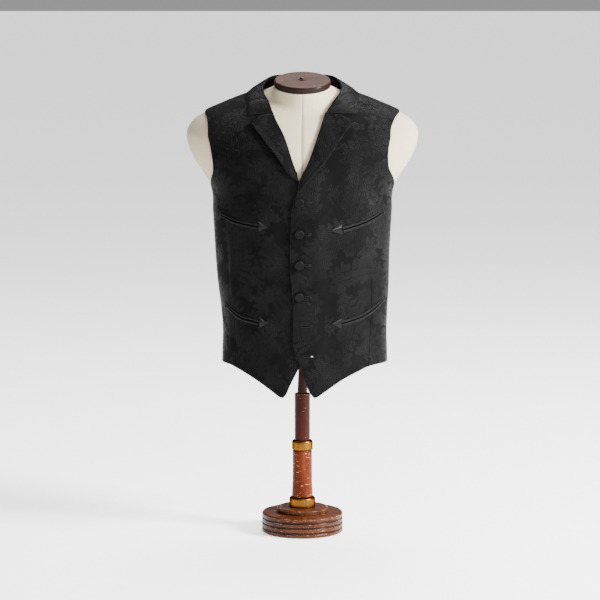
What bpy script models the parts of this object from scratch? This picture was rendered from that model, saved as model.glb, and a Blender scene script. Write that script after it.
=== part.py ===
"""A single-breasted waistcoat with notched lapels, worn by a limbless dress form on a turned stand.

Sizes are in millimetres and turned into metres where a mesh is made. +Z is up, the front faces -Y,
and the origin is the centre of the base's underside. Left and right are the wearer's.
"""

import math
from collections import namedtuple

import bmesh
import bpy
import numpy as np
from mathutils import Matrix, Vector

MM = 0.001
SEAM_GAP = 0.3  # between pieces that meet
NOTCH_GAP = 0.9  # between the collar's ends and the lapels
LAID_GAP = 0.5  # under what lies on a curved front
CLOTH = 1.8  # a panel with its hidden backing
LAPEL_CLOTH = 1.6
SIDE_SEAM = 6.0  # degrees behind the widest line
SHOULDER_SEAM = 8.0
UNDERARM = 722.0
FORM_BOTTOM = 400.0

# One row for each ring of the torso: its station along the side, the heights of its front, side and
# back, the depth of its middle, its half width, how far it reaches forward and back, the power of
# its superellipse, and the room that the worn cloth keeps from it.
Section = namedtuple(
    "Section",
    "station z_front z_side z_back middle half_width front back square ease",
)
SECTIONS = (
    Section(300, 300, 300, 300, 0, 168, 101, 92, 2.22, 9),
    Section(366, 366, 366, 366, 0, 166, 99, 90, 2.22, 8),
    Section(400, 400, 400, 400, 0, 165, 98, 90, 2.22, 8),
    Section(435, 435, 435, 435, 0, 165, 100, 90, 2.25, 7),
    Section(480, 480, 480, 480, 0, 168, 103, 91, 2.25, 6),
    Section(540, 540, 540, 540, 0, 173, 108, 95, 2.25, 6),
    Section(610, 610, 610, 610, 0, 177, 113, 102, 2.28, 5.5),
    Section(690, 690, 690, 690, 0, 182, 115, 109, 2.30, 5),
    Section(738, 740, 736, 740, 1, 186, 113, 112, 2.32, 4.5),
    Section(775, 778, 772, 782, 2, 209, 109, 113, 2.35, 4),
    Section(812, 806, 808, 815, 3, 231, 104, 112, 2.35, 3.5),
    Section(842, 826, 838, 842, 4, 242, 98, 109, 2.32, 3),
    Section(866, 842, 861, 860, 5, 242, 93, 106, 2.30, 2.5),
    Section(888, 855, 880, 875, 6, 230, 87, 102, 2.25, 1.8),
    Section(915, 867, 895, 890, 6, 207, 80, 96, 2.20, 1.6),
    Section(958, 879, 913, 910, 6, 165, 72, 88, 2.15, 1.7),
    Section(1000, 888, 927.5, 926, 5, 125, 65, 79, 2.10, 2.0),
    Section(1033, 895, 935.5, 939, 3, 93, 61, 70, 2.05, 2.1),
    Section(1050, 902, 940, 948, 1, 77, 59, 62, 2.00, 1.9),
    Section(1063, 913, 944.5, 956, -3, 66, 59, 55, 2.00, 1.2),
    Section(1075, 938.4, 952.1, 965.8, -8.4, 58, 64.9, 48.1, 2.00, 1.2),
)
SHOULDER_START, SHOULDER_FULL = 850.0, 905.0  # where the cloth's room turns upwards
HEM_FADE = 0.24  # share of a front's height over which its rows level out above the hem
BACK_NECK_SHARE = 0.5  # share of the back's width that the shoulder seam takes

# Rows of points up a front or a back: even up to the underarm, then closer, so that the lapels and
# the collar can start on a row and share its points.
UNDERARM_SHARE = 0.6
LOWER_ROWS, UPPER_ROWS = 13, 18
SHARES = np.concatenate([
    np.linspace(0, UNDERARM_SHARE, LOWER_ROWS, endpoint=False),
    np.linspace(UNDERARM_SHARE, 1, UPPER_ROWS + 1),
])
BREAK_ROW = {1: LOWER_ROWS + 2, -1: LOWER_ROWS + 4}
GORGE_ROW = LOWER_ROWS + 14

# Front edge, then the fold of the lapel, up to the neck: share of the way up, distance out from the
# centre towards the panel's own side, and height. The left front lies on top.
Mark = namedtuple("Mark", "share out z")
LEFT_EDGE = (
    Mark(0.000, 24.6, 307),
    Mark(0.012, 19.8, 311.5),
    Mark(0.102, -3.3, 370),
    Mark(0.157, -16.9, 404),
    Mark(0.299, -19.6, 499.5),
    Mark(0.416, -25.7, 578),
    Mark(0.572, -24, 683),
    Mark(0.612, -21, 714),
    Mark(0.6444, -10.5, 740),
    Mark(0.675, -6, 759),
    Mark(0.748, 13.6, 800),
    Mark(0.855, 36.5, 862),
    Mark(0.9111, 49, 895),
    Mark(0.955, 66, 917),
)
RIGHT_EDGE = (
    Mark(0.000, 40.6, 306.2),
    Mark(0.012, 35.8, 310.8),
    Mark(0.045, 25.9, 332),
    Mark(0.099, 9.8, 364),
    Mark(0.149, -5, 395),
    Mark(0.200, -9, 428),
    Mark(0.305, -9.5, 499.5),
    Mark(0.420, -11.7, 578),
    Mark(0.575, -10, 683),
    Mark(0.605, -7, 707),
    Mark(0.6444, 1.5, 738),
    Mark(0.690, 9, 766),
    Mark(0.747, 21, 800),
    Mark(0.831, 38, 850),
    Mark(0.9111, 62, 895.3),
    Mark(0.955, 72, 917),
)
NECK_POINT = 84.0  # half the neckline's width, on the shoulder seam
SHOULDER_TIP = 202.0

# Armhole: first the rows near the underarm and on the back as angle and station, then the front's
# edge as seen from the front
Turn = namedtuple("Turn", "share phi station")
UNDERARM_FRONT = (Turn(0.64, -2, 727), Turn(0.69, -13, 748))
ARMHOLE_BACK = (
    Turn(0.64, 13, 728),
    Turn(0.69, 24, 750),
    Turn(0.757, 35, 787),
    Turn(0.81, 39, 826),
    Turn(0.885, 36, 872),
    Turn(0.93, 27, 895),
)
LEFT_ARMHOLE = (
    Mark(0.757, 180, 787),
    Mark(0.81, 179, 823),
    Mark(0.878, 185, 868),
    Mark(0.921, 193, 886),
)
RIGHT_ARMHOLE = (
    Mark(0.745, 186, 778),
    Mark(0.81, 190.5, 824),
    Mark(0.885, 197, 871),
    Mark(0.925, 199, 886.5),
)

# Hem of each front, from its rounded point to the side seam
LEFT_HEM = (
    Mark(0.00, 24.6, 307),
    Mark(0.05, 31.5, 309),
    Mark(0.12, 43, 316.5),
    Mark(0.32, 82.5, 342.5),
    Mark(0.53, 116.6, 359),
    Mark(0.70, 140, 368),
    Mark(0.86, 163, 370.5),
)
RIGHT_HEM = (
    Mark(0.00, 40.6, 306.2),
    Mark(0.06, 48.4, 308.3),
    Mark(0.13, 59.6, 316.6),
    Mark(0.38, 99.7, 344.6),
    Mark(0.66, 139.5, 364.5),
    Mark(0.85, 161, 369.8),
)
SIDE_HEM = 368.5
BACK_HEM = 366.0

# Soft folds: which front (1 left, -1 right, 0 the back), place, half length, half width, height
Fold = namedtuple("Fold", "side out z tall wide rise lean")
FOLDS = (
    Fold(1, 141, 450, 110, 13, -1.6, -0.02),
    Fold(1, 120, 560, 90, 22, 1.6, 0.05),
    Fold(1, 60, 640, 70, 26, -1.2, 0.35),
    Fold(1, 95, 780, 60, 20, 1.4, 0.25),
    Fold(1, 165, 560, 80, 12, 1.5, 0.0),
    Fold(-1, 141, 440, 100, 13, -1.6, 0.02),
    Fold(-1, 148, 575, 70, 10, 2.4, 0.0),
    Fold(-1, 112, 560, 90, 22, -1.2, 0.05),
    Fold(-1, 70, 600, 90, 24, 1.4, 0.2),
    Fold(-1, 100, 790, 60, 22, 1.3, 0.2),
    Fold(0, 60, 520, 80, 26, 2.2, 0.15),
    Fold(0, 115, 600, 110, 24, -1.5, 0.1),
)

# The skirt hangs over a little to the wearer's left: how far, and where it starts
SWAY, SWAY_OUT, SWAY_Z = 5.0, (120, 175), (430, 620)

LAP_LIFT = 5.4  # the left front's edge over the right front
LAP_START, LAP_END = 22.0, 64.0
LAP_TOP, LAP_FADE = 752.0, 805.0

# Lapels: the outer edge beside the fold, from the break up to the notch
LEFT_LAPEL = (
    Mark(0.6444, -8, 737.5),
    Mark(0.675, 13, 761),
    Mark(0.748, 47, 800),
    Mark(0.80, 66, 826),
    Mark(0.855, 86, 855),
    Mark(0.9111, 103, 874.5),
)
RIGHT_LAPEL = (
    Mark(0.6889, 11.5, 762.5),
    Mark(0.7111, 27, 774),
    Mark(0.747, 46, 801),
    Mark(0.80, 65, 825),
    Mark(0.831, 75.4, 838),
    Mark(0.87, 91, 856),
    Mark(0.9111, 107, 875.5),
)
LAPEL_GORGE = {1: (82.5, 893.0), -1: (84.0, 892.6)}
GORGE_SHARE = 0.55
LAPEL_STAND = {1: 1.6, -1: 4.2}  # how far the outer edge stands off the front

# Collar: outer edge on the fronts, then the back's rows as angle and station of the neckline and
# the outer edge, with the roll's height over the cloth and how far it leans in to the neck
COLLAR_EDGE = {
    1: (Mark(0.9111, 112, 894.5), Mark(0.955, 115.5, 916)),
    -1: (Mark(0.9111, 118, 892), Mark(0.955, 120.5, 913)),
}
COLLAR_WIDTH = 119.0  # half width of its outer edge on the shoulder seam
Roll = namedtuple("Roll", "share rise lean")
COLLAR_ROLL = (
    Roll(0.9111, 4.4, 0.5),
    Roll(0.9333, 6.0, 0.7),
    Roll(0.9556, 6.6, 1.2),
    Roll(0.9778, 7.8, 1.6),
    Roll(1.0, 9.4, 2.0),
    Roll(1.12, 14.5, 2.3),
    Roll(1.35, 21.0, 2.2),
    Roll(2.0, 22.5, 2.0),
)
BACK_NECK, BACK_COLLAR_EDGE = 1045.0, 1001.0  # stations at the centre of the back
COLLAR_BACK_ROWS = 8
COLLAR_CLOTH = 2.0
# Its stand, from the foot inside the neck to the roll: height as a share of the roll's and a length
# more, the share of its lean, and how far it comes back out
Stand = namedtuple("Stand", "share more lean back")
COLLAR_STAND = (
    Stand(0.00, 1.6, 0.0, 0.0),
    Stand(0.55, 0.0, 0.6, 0.0),
    Stand(1.00, -1.2, 1.0, 0.0),
    Stand(1.00, 0.0, 1.0, 1.5),
    Stand(1.00, -0.6, 1.0, 3.4),
)
COLLAR_FALL = (0.25, 0.5, 0.75, 1.0)  # shares of the way down to the outer edge

# Pockets: curve from the side to the inner end of the mouth
Pocket = namedtuple("Pocket", "name side side_out side_z middle_out middle_z inner_out inner_z tip_out tip_z")
POCKETS = (
    Pocket("chest_left", 1, 166, 692.5, 130, 674.5, 84, 661, 58.4, 659.5),
    Pocket("chest_right", -1, 167, 686, 133, 674.5, 92, 667.5, 73, 666.5),
    Pocket("waist_left", 1, 167, 507, 130, 478, 83, 462.5, 60, 462.8),
    Pocket("waist_right", -1, 161, 494, 130, 473.5, 91, 464.5, 72, 464.2),
)
WELT_TALL, WELT_SLIT, WELT_CLOTH = 4.8, 2.0, 1.3
WELT_NARROWING = 0.45  # of the welt's height, at the pocket's outer end
ARROW_BASE, ARROW_CLOTH = 20.0, 1.4
ARROW_START = 2.2  # from the inner end of the mouth
TACK_TALL, TACK_WIDE, TACK_AWAY = 17.0, 3.0, 1.3

# Buttons down the centre front, 1 to 4 fastened, 5 and 6 left open under the left front
ButtonRow = namedtuple("ButtonRow", "out z hole_start hole_end fastened")
BUTTONS = (
    ButtonRow(-6.6, 718.0, -8.6, 18.0, True),
    ButtonRow(-6.6, 653.5, -8.6, 18.0, True),
    ButtonRow(-6.6, 588.5, -8.6, 18.0, True),
    ButtonRow(-6.7, 521.5, -8.6, 18.0, True),
    ButtonRow(7.0, 459.2, -5.0, 18.5, False),
    ButtonRow(5.0, 394.8, 0.4, 23.8, False),
)
BUTTON_RADIUS, BUTTON_TALL, HIDDEN_BUTTON_TALL = 9.7, 4.6, 2.2
SHANK_RADIUS, HOLE_HALF = 0.9, 1.3

NECK_TILT = math.radians(13.6)
NECK_TOP = (0.0, -8.4, 952.1)
TURN_STEPS = 36

# Stand, bottom to top: radius and height of each turned profile's points
STAND_BASE = (
    (0, 0), (84, 0), (86.5, 1.5), (86.5, 7.2), (85.0, 8.6), (85.0, 11.2), (86.5, 12.4), (86.5, 19.6),
    (85.0, 21.0), (85.0, 23.4), (86.3, 24.6), (86.3, 30.2), (84.9, 31.6), (84.9, 33.8), (86.2, 35.0),
    (86.2, 40.2), (84.0, 42.5), (0, 42.5),
)
STAND_DISC = ((0, 42.8), (53, 42.8), (54, 43.8), (54, 51.2), (52.4, 52.9), (0, 52.9))
LOWER_FERRULE = ((0, 53.2), (27.8, 53.2), (27.8, 72.0), (25.6, 74.2), (0, 74.2))
LOWER_POST = ((0, 74.5), (22.9, 74.5), (22.4, 84), (21.1, 108), (20.8, 150), (20.8, 177.3), (0, 177.3))
UPPER_FERRULE = ((0, 177.6), (22.3, 177.6), (22.3, 195.0), (20.2, 197.6), (0, 197.6))
MIDDLE_POST = ((0, 197.9), (16.5, 197.9), (16.5, 297.0), (15.2, 298.8), (0, 298.8))
UPPER_POST = ((0, 299.1), (10.7, 299.1), (8.6, 346), (8.0, 399.7), (0, 399.7))
NECK_CAP = ((0, 0.3), (57.6, 0.3), (60, 2.6), (60, 11.4), (57.2, 14.6), (0, 14.6))
NECK_BOLT = ((0, 14.9), (8.0, 14.9), (8.0, 16.2), (5.2, 16.6), (4.6, 19.8), (0, 20.6))

# Colours as in linear light, with roughness and metallic
DAMASK = ((0.012, 0.011, 0.012), 0.55, 0.0)
SATIN = ((0.008, 0.008, 0.009), 0.35, 0.0)
LINING = ((0.010, 0.010, 0.011), 0.5, 0.0)
LINEN = ((0.66, 0.60, 0.50), 0.85, 0.0)
DARK_WOOD = ((0.070, 0.030, 0.016), 0.35, 0.0)
RED_WOOD = ((0.20, 0.055, 0.020), 0.35, 0.0)
CAP_WOOD = ((0.22, 0.14, 0.11), 0.4, 0.0)
BRASS = ((0.60, 0.42, 0.16), 0.3, 1.0)


def clear_scene():
    for thing in list(bpy.data.objects):
        bpy.data.objects.remove(thing, do_unlink=True)


def material(name, look):
    colour, roughness, metallic = look
    made = bpy.data.materials.get(name)
    if made is None:
        made = bpy.data.materials.new(name)
        made.use_nodes = True
        shader = made.node_tree.nodes["Principled BSDF"]
        shader.inputs["Base Color"].default_value = (*colour, 1)
        shader.inputs["Roughness"].default_value = roughness
        shader.inputs["Metallic"].default_value = metallic
    return made


def smooth(knots, values, at):
    """Cubic through the values, read at one or more places."""
    knots = np.asarray(knots, float)
    values = np.asarray(values, float)
    at = np.asarray(at, float)
    slopes = np.gradient(values, knots)
    low = np.clip(np.searchsorted(knots, at, side="right") - 1, 0, len(knots) - 2)
    span = knots[low + 1] - knots[low]
    u = np.clip((at - knots[low]) / span, 0, 1)
    rise = 3 * u**2 - 2 * u**3
    leave = (u**3 - 2 * u**2 + u) * span * slopes[low]
    arrive = (u**3 - u**2) * span * slopes[low + 1]
    return (1 - rise) * values[low] + rise * values[low + 1] + leave + arrive


def step(low, high, at):
    """0 below low and 1 above high, with soft ends."""
    u = np.clip((np.asarray(at, float) - low) / (high - low), 0, 1)
    return u * u * (3 - 2 * u)


def column(name, station):
    return smooth([row.station for row in SECTIONS], [getattr(row, name) for row in SECTIONS], station)


def torso(phi, station, worn):
    """Point on the form (worn 0) or on the inside of the cloth (worn 1); phi is -90 at the front."""
    phi, station = np.broadcast_arrays(np.radians(phi), np.asarray(station, float))
    ease = column("ease", station) * worn
    power = 2 / column("square", station)
    middle = column("middle", station)
    across = np.sign(np.cos(phi)) * np.abs(np.cos(phi)) ** power
    deep = np.sign(np.sin(phi)) * np.abs(np.sin(phi)) ** power
    reach = np.where(deep < 0, column("front", station) + middle, column("back", station) - middle)
    z_side = column("z_side", station) + ease * step(SHOULDER_START, SHOULDER_FULL, station)
    z_front, z_back = column("z_front", station), column("z_back", station)
    tilt = (z_back - z_front) / 2 * deep
    sag = ((z_front + z_back) / 2 - column("z_side", station)) * deep**2
    x = (column("half_width", station) + ease) * across
    return np.stack([x, middle + (reach + ease) * deep, z_side + tilt + sag], axis=-1)


def normal(phi, station, worn=1):
    d_phi, d_station = 0.5, 1.0
    along = torso(np.add(phi, d_phi), station, worn) - torso(np.subtract(phi, d_phi), station, worn)
    up = torso(phi, np.add(station, d_station), worn) - torso(phi, np.subtract(station, d_station), worn)
    out = np.cross(along, up)
    return out / np.linalg.norm(out, axis=-1, keepdims=True)


def front_place(out, z):
    """phi and station of the cloth's front at a distance out from the centre and a height."""
    out, z = np.broadcast_arrays(np.asarray(out, float), np.asarray(z, float))
    low, high = np.full(z.shape, 300.0), np.full(z.shape, 1074.0)

    def angle(station):
        half = column("half_width", station) + column("ease", station)
        share = np.clip(np.abs(out) / half, 0, 1) ** (column("square", station) / 2)
        phi = -np.degrees(np.arccos(share))
        return np.where(out < 0, -180 - phi, phi)

    for _ in range(40):
        middle = (low + high) / 2
        below = torso(angle(middle), middle, 1)[..., 2] < z
        low, high = np.where(below, middle, low), np.where(below, high, middle)
    return angle(low), low


def ridge_station(half_width):
    """Station of the shoulder whose cloth reaches this half width."""
    stations = np.linspace(866, 1070, 400)
    widths = column("half_width", stations) + column("ease", stations)
    return float(np.interp(-half_width, -widths, stations))


def folds(side, out, z):
    total = np.zeros(np.broadcast(out, z).shape)
    for fold in FOLDS:
        if fold.side == side:
            across = (out - fold.out - fold.lean * (z - fold.z)) / fold.wide
            total = total + fold.rise * np.exp(-(across**2) - ((z - fold.z) / fold.tall) ** 2)
    return total


def lap(out, z):
    """How far the left front's edge stands off to pass over the right front."""
    return LAP_LIFT * (1 - step(LAP_START, LAP_END, out)) * (1 - step(LAP_TOP, LAP_FADE, z))


def sway(side, out, z):
    """How far the skirt's side stands off on the wearer's left, and in on the right."""
    across, down = step(*SWAY_OUT, out), 1 - step(*SWAY_Z, z)
    return side * SWAY * across * down


def panel_rise(side, out, z):
    """Distance of a front's inside from the plain worn surface."""
    rise = folds(side, out, z) + sway(side, out, z)
    return rise + lap(out, z) if side > 0 else rise


def front_point(side, phi, station, above=0.0):
    """Point of a front, above its inside face, on the wearer's side given by the sign."""
    base = torso(phi, station, 1)
    rise = panel_rise(side, base[..., 0], base[..., 2]) + above
    return (base + normal(phi, station) * np.asarray(rise)[..., None]) * (side, 1, 1)


def front_at(side, out, z, above=0.0):
    return front_point(side, *front_place(out, z), above)


def front_axes(side, out, z):
    """Unit vectors across, up and out of a front at one place."""
    reach = 2.0
    across = front_at(side, out + reach, z) - front_at(side, out - reach, z)
    across = Vector(across * side).normalized()
    up = Vector(front_at(side, out, z + reach) - front_at(side, out, z - reach)).normalized()
    return across, up, across.cross(up).normalized()


def read(rows, share, *names):
    """Smooth curve through a table's rows at the shares given."""
    shares = [row.share for row in rows]
    return [smooth(shares, [getattr(row, name) for row in rows], share) for name in names]


def part_seam(grid, edges, gap=SEAM_GAP / 2):
    """Draws the named edges of a grid of points back, by half a seam gap or by another length."""
    for edge in edges:
        turned = {"left": grid, "right": grid[:, ::-1]}.get(edge)
        if turned is None:
            turned = np.swapaxes({"bottom": grid, "top": grid[::-1]}[edge], 0, 1)
        inward = turned[:, 1] - turned[:, 0]
        turned[:, 0] += inward / np.linalg.norm(inward, axis=-1, keepdims=True) * gap
    return grid


def add_object(name, mesh, look):
    made = bpy.data.objects.new(name, mesh)
    bpy.context.scene.collection.objects.link(made)
    mesh.materials.append(look)
    return made


def cloth_wall(name, grid, thickness, offset, look, flip):
    """A grid of points, given thickness by a Solidify: offset 1 grows outwards, 0 both ways."""
    rows, columns = grid.shape[:2]
    faces = []
    for r in range(rows - 1):
        for c in range(columns - 1):
            corner = r * columns + c
            quad = (corner, corner + 1, corner + columns + 1, corner + columns)
            faces.append(quad[::-1] if flip else quad)
    mesh = bpy.data.meshes.new(name)
    mesh.from_pydata((grid.reshape(-1, 3) * MM).tolist(), [], faces)
    mesh.shade_smooth()
    made = add_object(name, mesh, look)
    wall = made.modifiers.new("cloth", "SOLIDIFY")
    wall.thickness = thickness * MM
    wall.offset = offset
    wall.use_even_offset = offset == 1
    return made


def front_border(edge, share):
    """phi and station along a front's edge and neckline."""
    out, z = read(edge, share, "out", "z")
    phi, station = front_place(out, z)
    marks = edge[-2:]
    last = front_place([m.out for m in marks], [m.z for m in marks])
    shares = [m.share for m in marks] + [1.0]
    beyond = share > marks[-1].share
    neck = (SHOULDER_SEAM, ridge_station(NECK_POINT))
    past = [smooth(shares, np.append(values, end), share) for values, end in zip(last, neck)]
    return np.where(beyond, past[0], phi), np.where(beyond, past[1], station)


def side_border(turns, share):
    """phi and station up a side seam, then round the armhole to the shoulder's tip."""
    rows = [(UNDERARM_SHARE, SIDE_SEAM, UNDERARM), *turns]
    rows.append((1.0, SHOULDER_SEAM, ridge_station(SHOULDER_TIP)))
    shares, phis, stations = zip(*rows)
    below = share <= UNDERARM_SHARE
    seam = SIDE_HEM + (UNDERARM - SIDE_HEM) * share / UNDERARM_SHARE
    phi = np.where(below, SIDE_SEAM, smooth(shares, phis, share))
    return phi, np.where(below, seam, smooth(shares, stations, share))


def across_blend(first, last, s):
    return first[:, None] * (1 - s) + last[:, None] * s


def front_grid(side, edge, armhole, hem, columns=16):
    s, t = np.linspace(0, 1, columns), SHARES
    edge_phi, edge_station = front_border(edge, t)
    seen = front_place([m.out for m in armhole], [m.z for m in armhole])
    turns = UNDERARM_FRONT + tuple(zip([m.share for m in armhole], *seen))
    side_phi, side_station = side_border(turns, t)
    phi = across_blend(edge_phi, side_phi, s)
    station = across_blend(edge_station, side_station, s)
    hem_phi, hem_station = front_place([m.out for m in hem], [m.z for m in hem])
    shares = [m.share for m in hem] + [1.0]
    hem_phi = smooth(shares, np.append(hem_phi, SIDE_SEAM), s)
    hem_station = smooth(shares, np.append(hem_station, SIDE_HEM), s)
    fade = (1 - step(0, HEM_FADE, t))[:, None]
    phi = phi + fade * (hem_phi - phi[0])
    station = station + fade * (hem_station - station[0])
    return part_seam(front_point(side, phi, station), ("right", "top"))


def make_fronts():
    look = material("damask", DAMASK)
    left = cloth_wall(
        "front_left", front_grid(1, LEFT_EDGE, LEFT_ARMHOLE, LEFT_HEM), CLOTH, 1, look, False
    )
    cloth_wall(
        "front_right", front_grid(-1, RIGHT_EDGE, RIGHT_ARMHOLE, RIGHT_HEM), CLOTH, 1, look, True
    )
    cut_buttonholes(left)


def back_neckline(share):
    """phi and station from the neck point (0) to the centre of the back (1)."""
    point = ridge_station(NECK_POINT)
    return SHOULDER_SEAM + (90 - SHOULDER_SEAM) * share, point + (BACK_NECK - point) * step(0, 1, share)


def back_grid(side, columns=11):
    """Half of the back, from the side seam (first column) to the centre seam."""
    s, t = np.linspace(0, 1, columns), SHARES
    side_phi, side_station = side_border(ARMHOLE_BACK, t)
    middle_station = smooth((0, UNDERARM_SHARE, 1), (BACK_HEM, 735, BACK_NECK), t)
    phi = across_blend(side_phi, np.full(len(t), 90.0), s)
    station = across_blend(side_station, middle_station, s)
    tip, point = ridge_station(SHOULDER_TIP), ridge_station(NECK_POINT)
    neck_phi, neck_station = back_neckline(np.clip((s - BACK_NECK_SHARE) / (1 - BACK_NECK_SHARE), 0, 1))
    on_seam = s <= BACK_NECK_SHARE
    top_phi = np.where(on_seam, SHOULDER_SEAM, neck_phi)
    top_station = np.where(on_seam, tip + (point - tip) * s / BACK_NECK_SHARE, neck_station)
    fade = step(UNDERARM_SHARE, 1, t)[:, None]
    phi = phi + fade * (top_phi - phi[-1])
    station = station + fade * (top_station - station[-1])
    base = torso(phi, station, 1)
    rise = folds(0, base[..., 0], base[..., 2]) + sway(side, base[..., 0], base[..., 2])
    grid = (base + normal(phi, station) * rise[..., None]) * (side, 1, 1)
    part_seam(grid, ("left", "right"))
    part_seam(grid[:, :on_seam.sum()], ("top",))
    return grid


def make_backs():
    look = material("lining", LINING)
    for side, name in ((1, "back_left"), (-1, "back_right")):
        cloth_wall(name, back_grid(side), CLOTH, 1, look, side < 0)


def lapel_outline(side, edge, table):
    """Fold and outer edge of a lapel, as two lists of (out, z), from the break to the notch."""
    share = SHARES[BREAK_ROW[side]:GORGE_ROW + 1]
    fold = torso(*front_border(edge, share), 1)[:, (0, 2)]
    shares = [m.share for m in table]
    outer = [smooth(shares, [getattr(m, name) for m in table], share) for name in ("out", "z")]
    outer = np.stack(outer, axis=-1)
    return fold, outer


def lapel_grid(side, edge, table, columns=8):
    """Middle surface of a lapel: a roll round the front's edge, then the turned cloth."""
    fold, outer = lapel_outline(side, edge, table)
    rows = len(fold)
    t = np.linspace(0, 1, rows)
    across = outer - fold
    across[0] = across[1]
    across /= np.linalg.norm(across, axis=-1, keepdims=True)
    half = LAPEL_CLOTH / 2
    over = CLOTH + SEAM_GAP + half
    # the roll passes beside the front's edge first, then dips round it
    wrap, dip = step(0, 1.2, np.arange(rows)), step(1.2, 3, np.arange(rows))
    # distance out from the fold and height over the front's inside, of the roll's columns
    roll = ((-half - 0.6, CLOTH * 0.45), (-half - 0.5, over - 0.2), (0.4, over + 0.5))
    points = []
    for away, height in roll:
        flat = over + 0.2 * (away + 2)
        away = away * wrap + (away + 1.6) * (1 - wrap)
        place = fold + across * away[:, None]
        points.append(front_at(side, place[:, 0], place[:, 1], flat + (height - flat) * dip))
    gorge = np.array([fold[-1], LAPEL_GORGE[side], outer[-1]])
    fade = step(0.72, 1, t)[:, None]
    for s in np.linspace(0.1, 1, columns):
        place = fold + (outer - fold) * s
        bent = np.array([np.interp(s, (0, GORGE_SHARE, 1), gorge[:, k]) for k in (0, 1)])
        place = place + fade * (bent - place[-1])
        stand = LAPEL_STAND[side] * s**1.5 * (0.35 + 0.65 * np.sin(math.pi * t * 0.8))
        swell = 0.5 + 1.2 * math.sin(math.pi * s) * (1 - 0.8 * step(0.7, 1, t))
        points.append(front_at(side, place[:, 0], place[:, 1], over + wrap * (stand + swell)))
    return part_seam(np.stack(points, axis=1), ("top",))


def make_lapels():
    look = material("damask", DAMASK)
    for side, name, edge, table in (
        (1, "lapel_left", LEFT_EDGE, LEFT_LAPEL),
        (-1, "lapel_right", RIGHT_EDGE, RIGHT_LAPEL),
    ):
        cloth_wall(name, lapel_grid(side, edge, table), LAPEL_CLOTH, 0, look, side < 0)


def collar_half(side, edge):
    """Middle surface of one half of the collar, from the notch to the centre of the back."""
    front = SHARES[GORGE_ROW:]
    back = np.linspace(0, 1, COLLAR_BACK_ROWS + 1)[1:]
    neck = np.hstack([front_border(edge, front), back_neckline(back)])
    marks = COLLAR_EDGE[side]
    seen = front_place([m.out for m in marks], [m.z for m in marks])
    shares = [m.share for m in marks] + [1.0]
    ridge = ridge_station(COLLAR_WIDTH)
    far = [smooth(shares, np.append(values, last), front) for values, last in zip(seen, (SHOULDER_SEAM, ridge))]
    back_far = (SHOULDER_SEAM + (90 - SHOULDER_SEAM) * back, ridge + (BACK_COLLAR_EDGE - ridge) * step(0, 1, back))
    far = np.hstack([far, back_far])
    rise, lean = (values[:, None] for values in read(COLLAR_ROLL, np.append(front, 1 + back), "rise", "lean"))
    base, out = torso(*neck, 1), normal(*neck)
    upright = step(4, 16, rise)
    up = out * (1 - upright) + np.array((0, 0, 1)) * upright
    up /= np.linalg.norm(up, axis=-1, keepdims=True)
    over = CLOTH + SEAM_GAP + COLLAR_CLOTH / 2
    rim = torso(*far, 1) + normal(*far) * (over + 0.4)
    away = rim - base
    away -= up * np.sum(away * up, axis=-1, keepdims=True)
    away /= np.linalg.norm(away, axis=-1, keepdims=True)
    clear = COLLAR_CLOTH / 2 + SEAM_GAP + 0.3
    strip = [
        base + up * (rise * row.share + row.more) - away * (clear + lean * row.lean - row.back)
        for row in COLLAR_STAND
    ]
    crest = strip[-1]
    reach = np.linalg.norm(rim - crest, axis=-1, keepdims=True)
    pull = crest + (rim - crest) * 0.45 + (away * 0.5 + up) * 0.07 * reach
    for s in COLLAR_FALL:
        strip.append(crest * (1 - s) ** 2 + pull * 2 * s * (1 - s) + rim * s**2)
    return np.stack(strip, axis=1) * (side, 1, 1)


def make_collar():
    left, right = collar_half(1, LEFT_EDGE), collar_half(-1, RIGHT_EDGE)
    grid = np.concatenate([left, right[::-1][1:]], axis=0)
    part_seam(grid, ("bottom", "top"), NOTCH_GAP)
    cloth_wall("collar", grid, COLLAR_CLOTH, 0, material("damask", DAMASK), True)


def square_to(places):
    """At each point of a line on a front, the (out, z) step of 1 mm square to it along the cloth."""
    along = np.gradient(places, axis=0)
    out, z = places.T
    # cloth for each mm across, which grows towards the side
    span = np.linalg.norm(front_at(1, out + 0.5, z) - front_at(1, out - 0.5, z), axis=-1)
    across = np.stack([-along[:, 1], along[:, 0] * span], axis=-1)
    across /= np.linalg.norm(across, axis=-1, keepdims=True)
    across[:, 0] /= span
    return across


def strip_grid(side, centre, half_tall, above, columns=3, bulge=0.5):
    """A narrow strip on a front: centre is a list of (out, z), half_tall its half height at each."""
    centre = np.asarray(centre, float)
    across = square_to(centre)
    lines = []
    for share in np.linspace(-1, 1, columns):
        place = centre + across * np.asarray(half_tall)[:, None] * share
        height = above + bulge * (1 - share * share)
        lines.append(front_at(side, place[:, 0], place[:, 1], height))
    return np.stack(lines, axis=1)


def bend(pocket, rows):
    """Curve through a pocket mouth's three points, from its inner end to the side."""
    s = np.linspace(0, 1, rows)
    knots = (0, 0.45, 1)
    out = smooth(knots, (pocket.inner_out, pocket.middle_out, pocket.side_out), s)
    return np.stack([out, smooth(knots, (pocket.inner_z, pocket.middle_z, pocket.side_z), s)], axis=-1), s


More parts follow.
